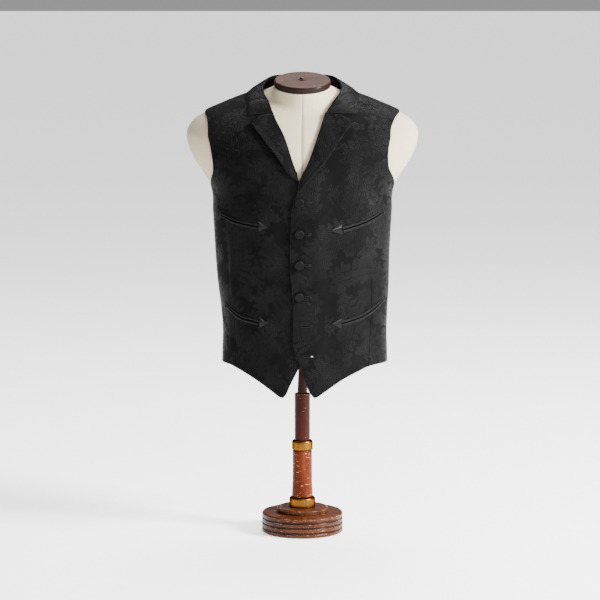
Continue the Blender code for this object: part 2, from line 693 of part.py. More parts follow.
def make_pocket(pocket, rows=10):
    satin = material("satin", SATIN)
    side, flip = pocket.side, pocket.side < 0
    above = CLOTH + LAID_GAP
    mouth, s = bend(pocket, rows)
    across = square_to(mouth)
    half = WELT_TALL / 2 * (1 - WELT_NARROWING * step(0.55, 1, s))
    for name, sign in (("welt_upper", 1), ("welt_lower", -1)):
        middle = mouth + across * (sign * (half + WELT_SLIT / 2))[:, None]
        cloth_wall(
            f"pocket_{pocket.name}_{name}", strip_grid(side, middle, half, above), WELT_CLOTH, 1, satin, not flip
        )
    back = np.array((pocket.inner_out - ARROW_START, pocket.inner_z))
    tip = np.array((pocket.tip_out, pocket.tip_z))
    middle = [back + (tip - back) * k for k in np.linspace(0, 1, 5)]
    half = ARROW_BASE / 2 * np.linspace(1, 0.06, 5)
    cloth_wall(
        f"pocket_{pocket.name}_arrowhead", strip_grid(side, middle, half, above), ARROW_CLOTH, 1, satin, not flip
    )
    slope = (mouth[-1] - mouth[-2]) / np.linalg.norm(mouth[-1] - mouth[-2])
    centre = mouth[-1] + slope * (TACK_WIDE / 2 + TACK_AWAY)
    middle = [centre + across[-1] * k for k in np.linspace(-TACK_TALL / 2, TACK_TALL / 2, 5)]
    half = np.array((0.5, 0.9, 1, 0.9, 0.5)) * TACK_WIDE / 2
    cloth_wall(
        f"pocket_{pocket.name}_tack", strip_grid(side, middle, half, above), ARROW_CLOTH, 1, satin, not flip
    )


def turned(name, profile, look, steps=TURN_STEPS, frame=None):
    """Spins a profile of (radius, height) points, bottom to top, about its own axis."""
    mesh = bpy.data.meshes.new(name)
    shape = bmesh.new()
    line = [shape.verts.new((r * MM, 0, z * MM)) for r, z in profile]
    for low, high in zip(line, line[1:]):
        shape.edges.new((low, high))
    bmesh.ops.spin(
        shape, geom=shape.verts[:] + shape.edges[:], axis=(0, 0, 1), cent=(0, 0, 0),
        steps=steps, angle=math.tau, use_merge=True,
    )
    bmesh.ops.remove_doubles(shape, verts=shape.verts, dist=1e-6)
    bmesh.ops.recalc_face_normals(shape, faces=shape.faces)
    shape.to_mesh(mesh)
    shape.free()
    mesh.shade_smooth()
    mesh.set_sharp_from_angle(angle=math.radians(35))
    made = add_object(name, mesh, look)
    if frame is not None:
        made.matrix_world = frame
    return made


def front_frame(side, out, z, above):
    """Matrix of a frame on a front: X across, Y up along the cloth, Z out of it."""
    across, up, away = front_axes(side, out, z)
    up = away.cross(across)
    spot = Vector(front_at(side, out, z, above) * MM)
    turn = Matrix((across, up, away)).transposed().to_4x4()
    return Matrix.Translation(spot) @ turn


def make_buttons():
    look = material("damask", DAMASK)
    for number, row in enumerate(BUTTONS, 1):
        if row.fastened:
            # the shank passes the left front and stops just over the right one
            depth = panel_rise(1, row.out, row.z) - panel_rise(-1, -row.out, row.z) - CLOTH
            above, tall = CLOTH + SEAM_GAP, BUTTON_TALL
            shank = -(float(depth) + CLOTH)
            frame = front_frame(1, row.out, row.z, above)
            profile = ((0, shank), (SHANK_RADIUS, shank), (SHANK_RADIUS, 0), (BUTTON_RADIUS - 1.2, 0))
        else:
            above, tall = CLOTH + SEAM_GAP, HIDDEN_BUTTON_TALL
            frame = front_frame(-1, row.out, row.z, above)
            profile = ((0, 0), (BUTTON_RADIUS - 1.2, 0))
        radius = BUTTON_RADIUS
        profile += (
            (radius - 0.2, tall * 0.22), (radius, tall * 0.42), (radius - 0.9, tall * 0.72),
            (radius * 0.62, tall * 0.93), (0, tall),
        )
        turned(f"button_{number}", profile, look, 16, frame)


def cut_buttonholes(panel):
    """Cuts the six slits through the left front."""
    shape = bmesh.new()
    depth = 6.0
    for row in BUTTONS:
        middle, half = (row.hole_start + row.hole_end) / 2, (row.hole_end - row.hole_start) / 2
        frame = front_frame(1, middle, row.z, CLOTH / 2)
        ring = []
        for sign in (1, -1):
            for k in range(5):
                turn = math.radians(-90 + 45 * k)
                x = sign * (half - HOLE_HALF + HOLE_HALF * math.cos(turn))
                ring.append((x, sign * HOLE_HALF * math.sin(turn)))
        low = [shape.verts.new(frame @ Vector((x * MM, y * MM, -depth * MM))) for x, y in ring]
        high = [shape.verts.new(frame @ Vector((x * MM, y * MM, depth * MM))) for x, y in ring]
        shape.faces.new(low[::-1])
        shape.faces.new(high)
        for k in range(len(ring)):
            after = (k + 1) % len(ring)
            shape.faces.new((low[k], low[after], high[after], high[k]))
    bmesh.ops.recalc_face_normals(shape, faces=shape.faces)
    mesh = bpy.data.meshes.new("buttonhole_cutter")
    shape.to_mesh(mesh)
    shape.free()
    cutter = bpy.data.objects.new("buttonhole_cutter", mesh)
    bpy.context.scene.collection.objects.link(cutter)
    cutter.hide_render = True
    cutter.display_type = "WIRE"
    cut = panel.modifiers.new("buttonholes", "BOOLEAN")
    cut.object = cutter


def make_form(columns=36):
    """The padded torso: rings up the sections, rounded below and closed at the neck."""
    phi = np.linspace(-180, 180, columns, endpoint=False)
    round_off = 10.0
    rings = []
    for angle in (0, 30, 60):
        turn = math.radians(angle)
        ring = torso(phi, FORM_BOTTOM + round_off, 0)
        ring[:, :2] *= 1 - (1 - math.sin(turn)) * round_off / ring[:, :2].max()
        ring[:, 2] = FORM_BOTTOM + round_off * (1 - math.cos(turn))
        rings.append(ring)
    stations = np.concatenate([
        np.linspace(FORM_BOTTOM + round_off, 722, 10)[:-1],
        np.linspace(722, 1050, 17)[:-1],
        np.linspace(1050, 1075, 4),
    ])
    rings += [torso(phi, station, 0) for station in stations]
    shape = bmesh.new()
    loops = [[shape.verts.new(Vector(p) * MM) for p in ring] for ring in rings]
    for low, high in zip(loops, loops[1:]):
        for k in range(columns):
            after = (k + 1) % columns
            shape.faces.new((low[k], low[after], high[after], high[k]))
    shape.faces.new(loops[0][::-1])
    shape.faces.new(loops[-1])
    mesh = bpy.data.meshes.new("form_torso")
    shape.to_mesh(mesh)
    shape.free()
    mesh.shade_smooth()
    mesh.set_sharp_from_angle(angle=math.radians(50))
    add_object("form_torso", mesh, material("linen", LINEN))


def make_neck():
    frame = Matrix.Translation(Vector(NECK_TOP) * MM) @ Matrix.Rotation(NECK_TILT, 4, "X")
    turned("neck_cap", NECK_CAP, material("cap_wood", CAP_WOOD), TURN_STEPS, frame)
    turned("neck_bolt", NECK_BOLT, material("dark_wood", DARK_WOOD), 16, frame)


def make_stand():
    red, dark, brass = (
        material("red_wood", RED_WOOD), material("dark_wood", DARK_WOOD), material("brass", BRASS)
    )
    turned("stand_base", STAND_BASE, dark)
    turned("stand_disc", STAND_DISC, dark)
    turned("lower_ferrule", LOWER_FERRULE, brass, 32)
    turned("lower_post", LOWER_POST, red, 32)
    turned("upper_ferrule", UPPER_FERRULE, brass, 32)
    turned("middle_post", MIDDLE_POST, red, 32)
    turned("upper_post", UPPER_POST, dark, 24)


def main():
    clear_scene()
    make_form()
    make_neck()
    make_stand()
    make_fronts()
    make_backs()
    make_lapels()
    make_collar()
    for pocket in POCKETS:
        make_pocket(pocket)
    make_buttons()


main()
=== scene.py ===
"""Cloth, thread, wood and brass of a black damask waistcoat on a dress form.

Sizes are in millimetres and turned into metres where a mesh is made. The waistcoat's front faces -Y,
and left and right are the wearer's.
"""

import math
from collections import namedtuple

import bmesh
import bpy
import numpy as np
from mathutils import Matrix, Vector


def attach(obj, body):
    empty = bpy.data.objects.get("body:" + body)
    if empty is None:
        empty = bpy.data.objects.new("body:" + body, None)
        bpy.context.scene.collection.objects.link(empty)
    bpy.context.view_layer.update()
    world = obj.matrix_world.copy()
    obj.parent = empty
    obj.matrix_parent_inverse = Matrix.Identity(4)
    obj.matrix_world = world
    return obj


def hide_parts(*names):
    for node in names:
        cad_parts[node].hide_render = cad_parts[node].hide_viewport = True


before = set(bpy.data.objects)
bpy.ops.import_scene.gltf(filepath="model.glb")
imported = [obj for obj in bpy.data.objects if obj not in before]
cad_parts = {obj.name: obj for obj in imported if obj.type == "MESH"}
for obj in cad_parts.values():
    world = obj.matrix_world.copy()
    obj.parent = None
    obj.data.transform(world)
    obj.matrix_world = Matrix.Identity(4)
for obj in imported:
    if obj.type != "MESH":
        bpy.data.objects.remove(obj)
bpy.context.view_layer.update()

MM = 0.001
BODY = "root"
HAND = {1: "left", -1: "right"}
SEAM_GAP = 0.3
CLOTH, LAPEL_CLOTH, COLLAR_CLOTH = 1.8, 1.6, 2.0
SIDE_SEAM, SHOULDER_SEAM = 6.0, 8.0
UNDERARM = 722.0
FORM_BOTTOM, FORM_TOP = 400.0, 1075.0
FORM_ROUND = 10.0  # how far the form's lower edge is rounded off
FORM_COLUMN = 8.2  # width of one column of the form's cover, laid flat
SHOULDER_START, SHOULDER_FULL = 850.0, 905.0
HEM_FADE = 0.24
BACK_NECK_SHARE = 0.5
UNDERARM_SHARE = 0.6
ROW = 0.4 / 18  # share of one of the solid's rows above the underarm
BREAK_SHARE = {1: UNDERARM_SHARE + 2 * ROW, -1: UNDERARM_SHARE + 4 * ROW}
GORGE_ROW_SHARE = UNDERARM_SHARE + 14 * ROW
NECK_POINT, SHOULDER_TIP = 84.0, 202.0
SIDE_HEM, BACK_HEM = 368.5, 366.0


def table(kind, *rows):
    """Rows that are all of one kind."""
    return tuple(kind(*row) for row in rows)


# The form's rings, as the solid has them
Section = namedtuple("Section", "station z_front z_side z_back middle half_width front back square ease")
SECTIONS = table(
    Section,
    (300, 300, 300, 300, 0, 168, 101, 92, 2.22, 9),
    (366, 366, 366, 366, 0, 166, 99, 90, 2.22, 8),
    (400, 400, 400, 400, 0, 165, 98, 90, 2.22, 8),
    (435, 435, 435, 435, 0, 165, 100, 90, 2.25, 7),
    (480, 480, 480, 480, 0, 168, 103, 91, 2.25, 6),
    (540, 540, 540, 540, 0, 173, 108, 95, 2.25, 6),
    (610, 610, 610, 610, 0, 177, 113, 102, 2.28, 5.5),
    (690, 690, 690, 690, 0, 182, 115, 109, 2.30, 5),
    (738, 740, 736, 740, 1, 186, 113, 112, 2.32, 4.5),
    (775, 778, 772, 782, 2, 209, 109, 113, 2.35, 4),
    (812, 806, 808, 815, 3, 231, 104, 112, 2.35, 3.5),
    (842, 826, 838, 842, 4, 242, 98, 109, 2.32, 3),
    (866, 842, 861, 860, 5, 242, 93, 106, 2.30, 2.5),
    (888, 855, 880, 875, 6, 230, 87, 102, 2.25, 1.8),
    (915, 867, 895, 890, 6, 207, 80, 96, 2.20, 1.6),
    (958, 879, 913, 910, 6, 165, 72, 88, 2.15, 1.7),
    (1000, 888, 927.5, 926, 5, 125, 65, 79, 2.10, 2.0),
    (1033, 895, 935.5, 939, 3, 93, 61, 70, 2.05, 2.1),
    (1050, 902, 940, 948, 1, 77, 59, 62, 2.00, 1.9),
    (1063, 913, 944.5, 956, -3, 66, 59, 55, 2.00, 1.2),
    (1075, 938.4, 952.1, 965.8, -8.4, 58, 64.9, 48.1, 2.00, 1.2),
)

# Edges of the fronts: share of the way up, distance out towards the panel's own side, height
Mark = namedtuple("Mark", "share out z")
LEFT_EDGE = table(
    Mark,
    (0.000, 24.6, 307), (0.012, 19.8, 311.5), (0.102, -3.3, 370), (0.157, -16.9, 404),
    (0.299, -19.6, 499.5), (0.416, -25.7, 578), (0.572, -24, 683), (0.612, -21, 714),
    (0.6444, -10.5, 740), (0.675, -6, 759), (0.748, 13.6, 800), (0.855, 36.5, 862),
    (0.9111, 49, 895), (0.955, 66, 917),
)
RIGHT_EDGE = table(
    Mark,
    (0.000, 40.6, 306.2), (0.012, 35.8, 310.8), (0.045, 25.9, 332), (0.099, 9.8, 364),
    (0.149, -5, 395), (0.200, -9, 428), (0.305, -9.5, 499.5), (0.420, -11.7, 578),
    (0.575, -10, 683), (0.605, -7, 707), (0.6444, 1.5, 738), (0.690, 9, 766),
    (0.747, 21, 800), (0.831, 38, 850), (0.9111, 62, 895.3), (0.955, 72, 917),
)
Turn = namedtuple("Turn", "share phi station")
UNDERARM_FRONT = table(Turn, (0.64, -2, 727), (0.69, -13, 748))
ARMHOLE_BACK = table(
    Turn,
    (0.64, 13, 728), (0.69, 24, 750), (0.757, 35, 787),
    (0.81, 39, 826), (0.885, 36, 872), (0.93, 27, 895),
)
LEFT_ARMHOLE = table(Mark, (0.757, 180, 787), (0.81, 179, 823), (0.878, 185, 868), (0.921, 193, 886))
RIGHT_ARMHOLE = table(
    Mark,
    (0.745, 186, 778), (0.81, 190.5, 824), (0.885, 197, 871), (0.925, 199, 886.5),
)
LEFT_HEM = table(
    Mark,
    (0.00, 24.6, 307), (0.05, 31.5, 309), (0.12, 43, 316.5), (0.32, 82.5, 342.5),
    (0.53, 116.6, 359), (0.70, 140, 368), (0.86, 163, 370.5),
)
RIGHT_HEM = table(
    Mark,
    (0.00, 40.6, 306.2), (0.06, 48.4, 308.3), (0.13, 59.6, 316.6), (0.38, 99.7, 344.6),
    (0.66, 139.5, 364.5), (0.85, 161, 369.8),
)

# Folds and creases: which side (1 left, -1 right, 0 both halves of the back), place, half length,
# half width, height and how far they lean. The first rows are the solid's own.
Fold = namedtuple("Fold", "side out z tall wide rise lean")
FOLDS = table(
    Fold,
    (1, 141, 450, 110, 13, -1.6, -0.02),
    (1, 120, 560, 90, 22, 1.6, 0.05),
    (1, 60, 640, 70, 26, -1.2, 0.35),
    (1, 95, 780, 60, 20, 1.4, 0.25),
    (1, 165, 560, 80, 12, 1.5, 0.0),
    (-1, 141, 440, 100, 13, -1.6, 0.02),
    (-1, 148, 575, 70, 10, 2.4, 0.0),
    (-1, 112, 560, 90, 22, -1.2, 0.05),
    (-1, 70, 600, 90, 24, 1.4, 0.2),
    (-1, 100, 790, 60, 22, 1.3, 0.2),
    (0, 60, 520, 80, 26, 2.2, 0.15),
    (0, 115, 600, 110, 24, -1.5, 0.1),
)
CREASES = table(
    Fold,
    (-1, 146, 590, 60, 4.5, 1.1, 0.01),
    (-1, 153, 560, 50, 3.5, -0.9, 0.02),
    (-1, 136, 480, 46, 5, 0.7, -0.10),
    (-1, 150, 408, 44, 5, 0.7, 0.10),
    (-1, 126, 700, 40, 8, 0.7, 0.55),
    (-1, 66, 745, 38, 7, 0.6, 0.75),
    (-1, 40, 520, 60, 10, 0.5, 0.12),
    (-1, 88, 400, 60, 12, 0.7, -0.25),
    (1, 146, 520, 44, 5, 0.8, -0.05),
    (1, 135, 600, 52, 6, -0.6, 0.06),
    (1, 150, 420, 46, 5, 0.7, -0.08),
    (1, 44, 690, 30, 6, 0.6, 0.85),
    (1, 48, 610, 30, 7, 0.5, 0.60),
    (1, 100, 850, 40, 8, 0.6, 0.45),
    (1, 92, 400, 60, 12, 0.6, 0.22),
    (1, 150, 690, 36, 7, 0.7, -0.5),
    (0, 26, 600, 90, 7, 0.8, 0.05),
    (0, 84, 470, 60, 8, 0.9, 0.18),
    (0, 140, 520, 70, 8, 0.9, 0.10),
    (0, 96, 720, 60, 9, 0.7, 0.40),
    (0, 130, 690, 44, 7, -0.7, 0.55),
    (0, 52, 800, 60, 10, 0.6, 0.25),
    (0, 110, 840, 40, 8, 0.7, 0.50),
)
# Darts of the fronts, as the line of their seam
Dart = namedtuple("Dart", "side out_low z_low out_high z_high")
DARTS = table(Dart, (1, 137, 362, 143, 505), (-1, 139, 364, 143, 500), (1, 142, 506, 143, 553))

SWAY, SWAY_OUT, SWAY_Z = 5.0, (120, 175), (430, 620)
LAP_LIFT = 5.4
LAP_START, LAP_END = 22.0, 64.0
LAP_TOP, LAP_FADE = 752.0, 805.0

LEFT_LAPEL = table(
    Mark,
    (0.6444, -8, 737.5), (0.675, 13, 761), (0.748, 47, 800),
    (0.80, 66, 826), (0.855, 86, 855), (0.9111, 103, 874.5),
)
RIGHT_LAPEL = table(
    Mark,
    (0.6889, 11.5, 762.5), (0.7111, 27, 774), (0.747, 46, 801), (0.80, 65, 825),
    (0.831, 75.4, 838), (0.87, 91, 856), (0.9111, 107, 875.5),
)
LAPEL_GORGE = {1: (82.5, 893.0), -1: (84.0, 892.6)}
GORGE_SHARE = 0.55
ROLL_STARTS, ROLL_FULL = 1.2, 3  # rows above the break where a lapel's roll sets in and is full
LAPEL_STAND = {1: 1.6, -1: 4.2}
BILLOW = 0.9  # how far the right lapel stands up in its middle

COLLAR_EDGE = {
    1: (Mark(0.9111, 112, 894.5), Mark(0.955, 115.5, 916)),
    -1: (Mark(0.9111, 118, 892), Mark(0.955, 120.5, 913)),
}
COLLAR_WIDTH = 119.0
Roll = namedtuple("Roll", "share rise lean")
COLLAR_ROLL = table(
    Roll,
    (0.9111, 4.4, 0.5), (0.9333, 6.0, 0.7), (0.9556, 6.6, 1.2), (0.9778, 7.8, 1.6),
    (1.0, 9.4, 2.0), (1.12, 14.5, 2.3), (1.35, 21.0, 2.2), (2.0, 22.5, 2.0),
)
BACK_NECK, BACK_COLLAR_EDGE = 1045.0, 1001.0
# How far a turned cloth's free edge stands off, and the width over which it does
LAPEL_OFF, LAPEL_OFF_REACH = 1.3, 14
COLLAR_OFF, COLLAR_OFF_REACH = 2.0, 16
# How far a cloth is rounded down at its free edges, and the width over which it is
FRONT_PRESS, TURNED_PRESS = (0.7, 2.6), (0.5, 2.0)
Stand = namedtuple("Stand", "share more lean back")
COLLAR_STAND = table(
    Stand,
    (0.00, 1.6, 0.0, 0.0), (0.55, 0.0, 0.6, 0.0), (1.00, -1.2, 1.0, 0.0),
    (1.00, 0.0, 1.0, 1.5), (1.00, -0.6, 1.0, 3.4),
)

Pocket = namedtuple(
    "Pocket", "name side side_out side_z middle_out middle_z inner_out inner_z tip_out tip_z",
)
POCKETS = table(
    Pocket,
    ("chest_left", 1, 166, 692.5, 130, 674.5, 84, 661, 58.4, 659.5),
    ("chest_right", -1, 167, 686, 133, 674.5, 92, 667.5, 73, 666.5),
    ("waist_left", 1, 167, 507, 130, 478, 83, 462.5, 60, 462.8),
    ("waist_right", -1, 161, 494, 130, 473.5, 91, 464.5, 72, 464.2),
)
WELT_TALL, WELT_SLIT, WELT_ROUND = 4.8, 2.0, 1.5
WELT_NARROWING = 0.45
ARROW_BASE, ARROW_START, ARROW_ROUND = 20.0, 2.2, 1.9
TACK_TALL, TACK_WIDE, TACK_AWAY, TACK_ROUND = 17.0, 3.0, 1.3, 1.7
ARROW_TAPER, TACK_TAPER = 0.94, 0.5
MOUTH_UNDER, MOUTH_TALL = 0.5, 0.12  # how far the mouth's painted shade strip reaches under the pipings, and its height
LAID_GAP = 0.15
NO_SEAM = 9.0  # what the seam field says away from every seam
FAR = 99.0  # a distance past any that matters

ButtonRow = namedtuple("ButtonRow", "out z hole_start hole_end fastened")
BUTTONS = table(
    ButtonRow,
    (-6.6, 718.0, -8.6, 18.0, True),
    (-6.6, 653.5, -8.6, 18.0, True),
    (-6.6, 588.5, -8.6, 18.0, True),
    (-6.7, 521.5, -8.6, 18.0, True),
    (7.0, 459.2, -5.0, 18.5, False),
    (5.0, 394.8, 0.4, 23.8, False),
)
BUTTON_RADIUS, BUTTON_TALL, HIDDEN_BUTTON_TALL = 9.7, 4.6, 2.2
SHANK_RADIUS, HOLE_HALF = 0.9, 0.9
HOLE_INSET = 1.0  # how far a cut stays inside its bead
HOLE_NEAR, HOLE_DEEP = 24, 6  # where the faces near a hole are looked for
SLIT_TALL = 0.15  # how high the painted shade strip of a shut slit stands off
TWIST_OFF = 0.25  # how high the bead's middle stands off
GAPE = 0.70  # share of the lowest buttonhole that stays shut
TWIST_RADIUS = 1.05  # of the bead round a buttonhole
PUCKER, PUCKER_WIDE = 1.3, 3.4  # how deep the cloth is drawn in round a button, and how widely
STITCH_INSET, ARMHOLE_INSET = 2.2, 3.0
EDGE_TOP, ARMHOLE_LOW = 0.66, 0.62  # where the stitching ends and starts, as shares of the rows
STITCH_LONG, STITCH_GAP, STITCH_WIDE, STITCH_TALL = 2.3, 1.3, 0.55, 0.32
CLOSE_ROW = 0.0022  # first step of a panel's rows, as a share

WEAR_WIDE = 2.4  # how far from an edge the wood is worn
CORNER_STEPS = 3  # of a turned piece's rounded corner
NECK_TILT = math.radians(13.6)
NECK_TOP = (0.0, -8.4, 952.1)

# The lamps, in metres and watts, and the camera
Lamp = namedtuple("Lamp", "name place power size")
LAMPS = table(
    Lamp,
    ("key", (3.4, -1.6, 2.4), 1000, 1.2),
    ("front", (1.2, -4.2, 2.6), 80, 1.6),
    ("top", (0.2, 1.4, 3.4), 170, 1.4),
)
LAMP_AIM = (0, 0, 0.6)
CAMERA_PLACE, CAMERA_DOWN = (-0.005, -6.0, 1.33), 7.8895
LENS, FILM = 171.4, 36
FLOOR_HALF, FLOOR_GLOW, SKY = 30, 1.15, 0.34

# The damask's repeat, painted motif over motif: plumes by their stem's three points, sprays of
# toothed leaves, scrolls and blooms by their middle
REPEAT_WIDE, REPEAT_TALL = 208, 276
Scroll = namedtuple("Scroll", "x y radius turns start half")
SCROLLS = table(
    Scroll,
    (150, 74, 25, 1.3, 200, 6.4),
    (70, 116, 20, -1.3, 20, 5.4),
    (160, 196, 20, 1.25, 90, 5.2),
    (196, 8, 18, -1.2, 250, 5.0),
    (72, 196, 16, -1.35, 140, 4.6),
)
Spray = namedtuple("Spray", "x y turn count spread length")
SPRAYS = table(
    Spray,
    (16, 26, 240, 7, 190, 36),
    (150, 84, 330, 7, 220, 38),
    (152, 132, 60, 7, 180, 32),
    (84, 110, 300, 7, 190, 30),
    (64, 132, 250, 7, 150, 28),
    (150, 214, 200, 7, 190, 36),
    (166, 238, 20, 7, 190, 38),
    (196, 196, 80, 7, 160, 30),
    (12, 112, 110, 7, 170, 32),
    (86, 266, 60, 7, 170, 30),
)
Plume = namedtuple("Plume", "x0 y0 x1 y1 x2 y2 half lobes reach")
PLUMES = table(
    Plume,
    (70, 10, 120, 44, 190, 34, 20, 10, 27),
    (34, 8, 30, 92, 118, 132, 26, 13, 36),
    (196, 66, 216, 136, 158, 186, 20, 10, 29),
    (40, 146, -6, 196, 44, 262, 22, 11, 31),
    (96, 150, 146, 190, 104, 262, 19, 10, 28),
)
Bloom = namedtuple("Bloom", "x y radius petals")
BLOOMS = table(Bloom, (150, 256, 24, 8), (112, 82, 16, 6), (186, 140, 15, 7))
OUTLINE = 1.1  # how wide a motif keeps clear of what it is painted over


# ---- forms


def smooth(knots, values, at):
    """Cubic through the values, read at one or more places."""
    knots, values, at = (np.asarray(v, float) for v in (knots, values, at))
    slopes = np.gradient(values, knots)
    low = np.clip(np.searchsorted(knots, at, side="right") - 1, 0, len(knots) - 2)
    span = knots[low + 1] - knots[low]
    u = np.clip((at - knots[low]) / span, 0, 1)
    rise = 3 * u**2 - 2 * u**3
    leave = (u**3 - 2 * u**2 + u) * span * slopes[low]
    arrive = (u**3 - u**2) * span * slopes[low + 1]
    return (1 - rise) * values[low] + rise * values[low + 1] + leave + arrive


def step(low, high, at):
    """Rises smoothly from 0 to 1 between two places."""
    u = np.clip((np.asarray(at, float) - low) / (high - low), 0, 1)
    return u * u * (3 - 2 * u)


def arc(a, b, c, u):
    """Point of a curve that leaves a towards b and ends in c."""
    return a * (1 - u) ** 2 + b * 2 * u * (1 - u) + c * u**2


def unit(vectors):
    """Vectors along the last axis, brought to length 1."""
    return vectors / np.maximum(np.linalg.norm(vectors, axis=-1, keepdims=True), 1e-9)


def run_along(line):
    """Length run along a line of points, from its first."""
    return np.append(0, np.cumsum(np.linalg.norm(np.diff(line, axis=0), axis=1)))


STATIONS = np.linspace(SECTIONS[0].station, SECTIONS[-1].station, 1551)
COLUMNS = {
    name: smooth([row.station for row in SECTIONS], [getattr(row, name) for row in SECTIONS], STATIONS)
    for name in Section._fields[1:]
}


def column(name, station):
    return np.interp(station, STATIONS, COLUMNS[name])


def torso(phi, station, worn):
    """Point on the form (worn 0) or on the inside of the cloth (worn 1); phi is -90 at the front."""
    phi, station = np.broadcast_arrays(np.radians(phi), np.asarray(station, float))
    ease = column("ease", station) * worn
    power = 2 / column("square", station)
    middle = column("middle", station)
    across = np.sign(np.cos(phi)) * np.abs(np.cos(phi)) ** power
    deep = np.sign(np.sin(phi)) * np.abs(np.sin(phi)) ** power
    reach = np.where(deep < 0, column("front", station) + middle, column("back", station) - middle)
    z_side = column("z_side", station) + ease * step(SHOULDER_START, SHOULDER_FULL, station)
    z_front, z_back = column("z_front", station), column("z_back", station)
    tilt = (z_back - z_front) / 2 * deep
    sag = ((z_front + z_back) / 2 - column("z_side", station)) * deep**2
    x = (column("half_width", station) + ease) * across
    return np.stack([x, middle + (reach + ease) * deep, z_side + tilt + sag], axis=-1)


def normal(phi, station, worn=1):
    along = torso(np.add(phi, 0.5), station, worn) - torso(np.subtract(phi, 0.5), station, worn)
    up = torso(phi, np.add(station, 1.0), worn) - torso(phi, np.subtract(station, 1.0), worn)
    return unit(np.cross(along, up))


def front_place(out, z):
    """phi and station of the cloth's front at a distance out from the centre and a height."""
    out, z = np.broadcast_arrays(np.asarray(out, float), np.asarray(z, float))
    low, high = np.full(z.shape, 300.0), np.full(z.shape, 1074.0)

    def angle(station):
        half = column("half_width", station) + column("ease", station)
        share = np.clip(np.abs(out) / half, 0, 1) ** (column("square", station) / 2)
        phi = -np.degrees(np.arccos(share))
        return np.where(out < 0, -180 - phi, phi)

    for _ in range(30):
        middle = (low + high) / 2
        below = torso(angle(middle), middle, 1)[..., 2] < z
        low, high = np.where(below, middle, low), np.where(below, high, middle)
    return angle(low), low


def ridge_station(half_width):
    """Station of the shoulder's ridge at a distance out from the centre."""
    stations = np.linspace(866, 1070, 400)
    widths = column("half_width", stations) + column("ease", stations)
    return float(np.interp(-half_width, -widths, stations))


def folds(side, out, z, rows=FOLDS):
    """How far one side's folds stand up at places."""
    total = np.zeros(np.broadcast(out, z).shape)
    for fold in rows:
        if fold.side == side:
            across = (out - fold.out - fold.lean * (z - fold.z)) / fold.wide
            total = total + fold.rise * np.exp(-(across**2) - ((z - fold.z) / fold.tall) ** 2)
    return total


def lap(out, z):
    """How far the left front's edge stands off to pass over the right front."""
    return LAP_LIFT * (1 - step(LAP_START, LAP_END, out)) * (1 - step(LAP_TOP, LAP_FADE, z))


def sway(side, out, z):
    """How far the skirt's side stands off on the wearer's left, and in on the right."""
    across, down = step(*SWAY_OUT, out), 1 - step(*SWAY_Z, z)
    return side * SWAY * across * down


def panel_rise(side, out, z):
    """How far a front stands off its plain shape: folds, sway, and the lap of the upper one."""
    rise = folds(side, out, z) + sway(side, out, z)
    return rise + lap(out, z) if side > 0 else rise


def front_point(side, phi, station, above=0.0):
    """Point of a front, above its inside face, on the wearer's side given by the sign."""
    base = torso(phi, station, 1)
    rise = panel_rise(side, base[..., 0], base[..., 2]) + above
    return (base + normal(phi, station) * np.asarray(rise)[..., None]) * (side, 1, 1)


def front_at(side, out, z, above=0.0):
    """Point of a front at a distance out from the centre and a height."""
    return front_point(side, *front_place(out, z), above)


def front_frame(side, out, z, above):
    """Matrix of a frame on a front, in metres: X across, Y up along the cloth, Z out of it."""
    across = Vector((front_at(side, out + 2.0, z) - front_at(side, out - 2.0, z)) * side).normalized()
    up = Vector(front_at(side, out, z + 2.0) - front_at(side, out, z - 2.0)).normalized()
    away = across.cross(up).normalized()
    spot = Vector(front_at(side, out, z, above) * MM)
    return Matrix.Translation(spot) @ Matrix((across, away.cross(across), away)).transposed().to_4x4()


def read(rows, share, *names):
    """Columns of a table, read at shares."""
    shares = [row.share for row in rows]
    return [smooth(shares, [getattr(row, name) for row in rows], share) for name in names]


def carried_on(marks, ends, at):
    """phi and station along marks on a front, and on to a last pair of values at share 1."""
    shares = [mark.share for mark in marks] + [1.0]
    seen = front_place([mark.out for mark in marks], [mark.z for mark in marks])
    return [smooth(shares, np.append(values, end), at) for values, end in zip(seen, ends)]


def front_border(edge, share):
    """phi and station along a front's edge and neckline."""
    out, z = read(edge, share, "out", "z")
    phi, station = front_place(out, z)
    past = carried_on(edge[-2:], (SHOULDER_SEAM, ridge_station(NECK_POINT)), share)
    beyond = share > edge[-1].share
    return np.where(beyond, past[0], phi), np.where(beyond, past[1], station)


def side_border(turns, share):
    """phi and station up the side seam and on round the armhole."""
    rows = [(UNDERARM_SHARE, SIDE_SEAM, UNDERARM), *turns]
    rows.append((1.0, SHOULDER_SEAM, ridge_station(SHOULDER_TIP)))
    shares, phis, stations = zip(*rows)
    below = share <= UNDERARM_SHARE
    seam = SIDE_HEM + (UNDERARM - SIDE_HEM) * share / UNDERARM_SHARE
    phi = np.where(below, SIDE_SEAM, smooth(shares, phis, share))
    return phi, np.where(below, seam, smooth(shares, stations, share))


def across_blend(first, last, s):
    """A grid's rows, each running from its first value to its last."""
    return first[:, None] * (1 - s) + last[:, None] * s


def lengths(points):
    """Length run along each row and up each column of a grid of points, from its first."""
    along = np.linalg.norm(np.diff(points, axis=1), axis=-1)
    up = np.linalg.norm(np.diff(points, axis=0), axis=-1)
    rows, columns = points.shape[:2]
    return (
        np.hstack([np.zeros((rows, 1)), np.cumsum(along, axis=1)]),
        np.vstack([np.zeros((1, columns)), np.cumsum(up, axis=0)]),
    )


def part_seam(points, edges, gap=SEAM_GAP / 2):
    """Draws the named edges of a grid of points back by half a seam gap."""
    for edge in edges:
        turned = {"left": points, "right": points[:, ::-1]}.get(edge)
        if turned is None:
            turned = np.swapaxes({"bottom": points, "top": points[::-1]}[edge], 0, 1)
        turned[:, 0] += unit(turned[:, 1] - turned[:, 0]) * gap
    return points


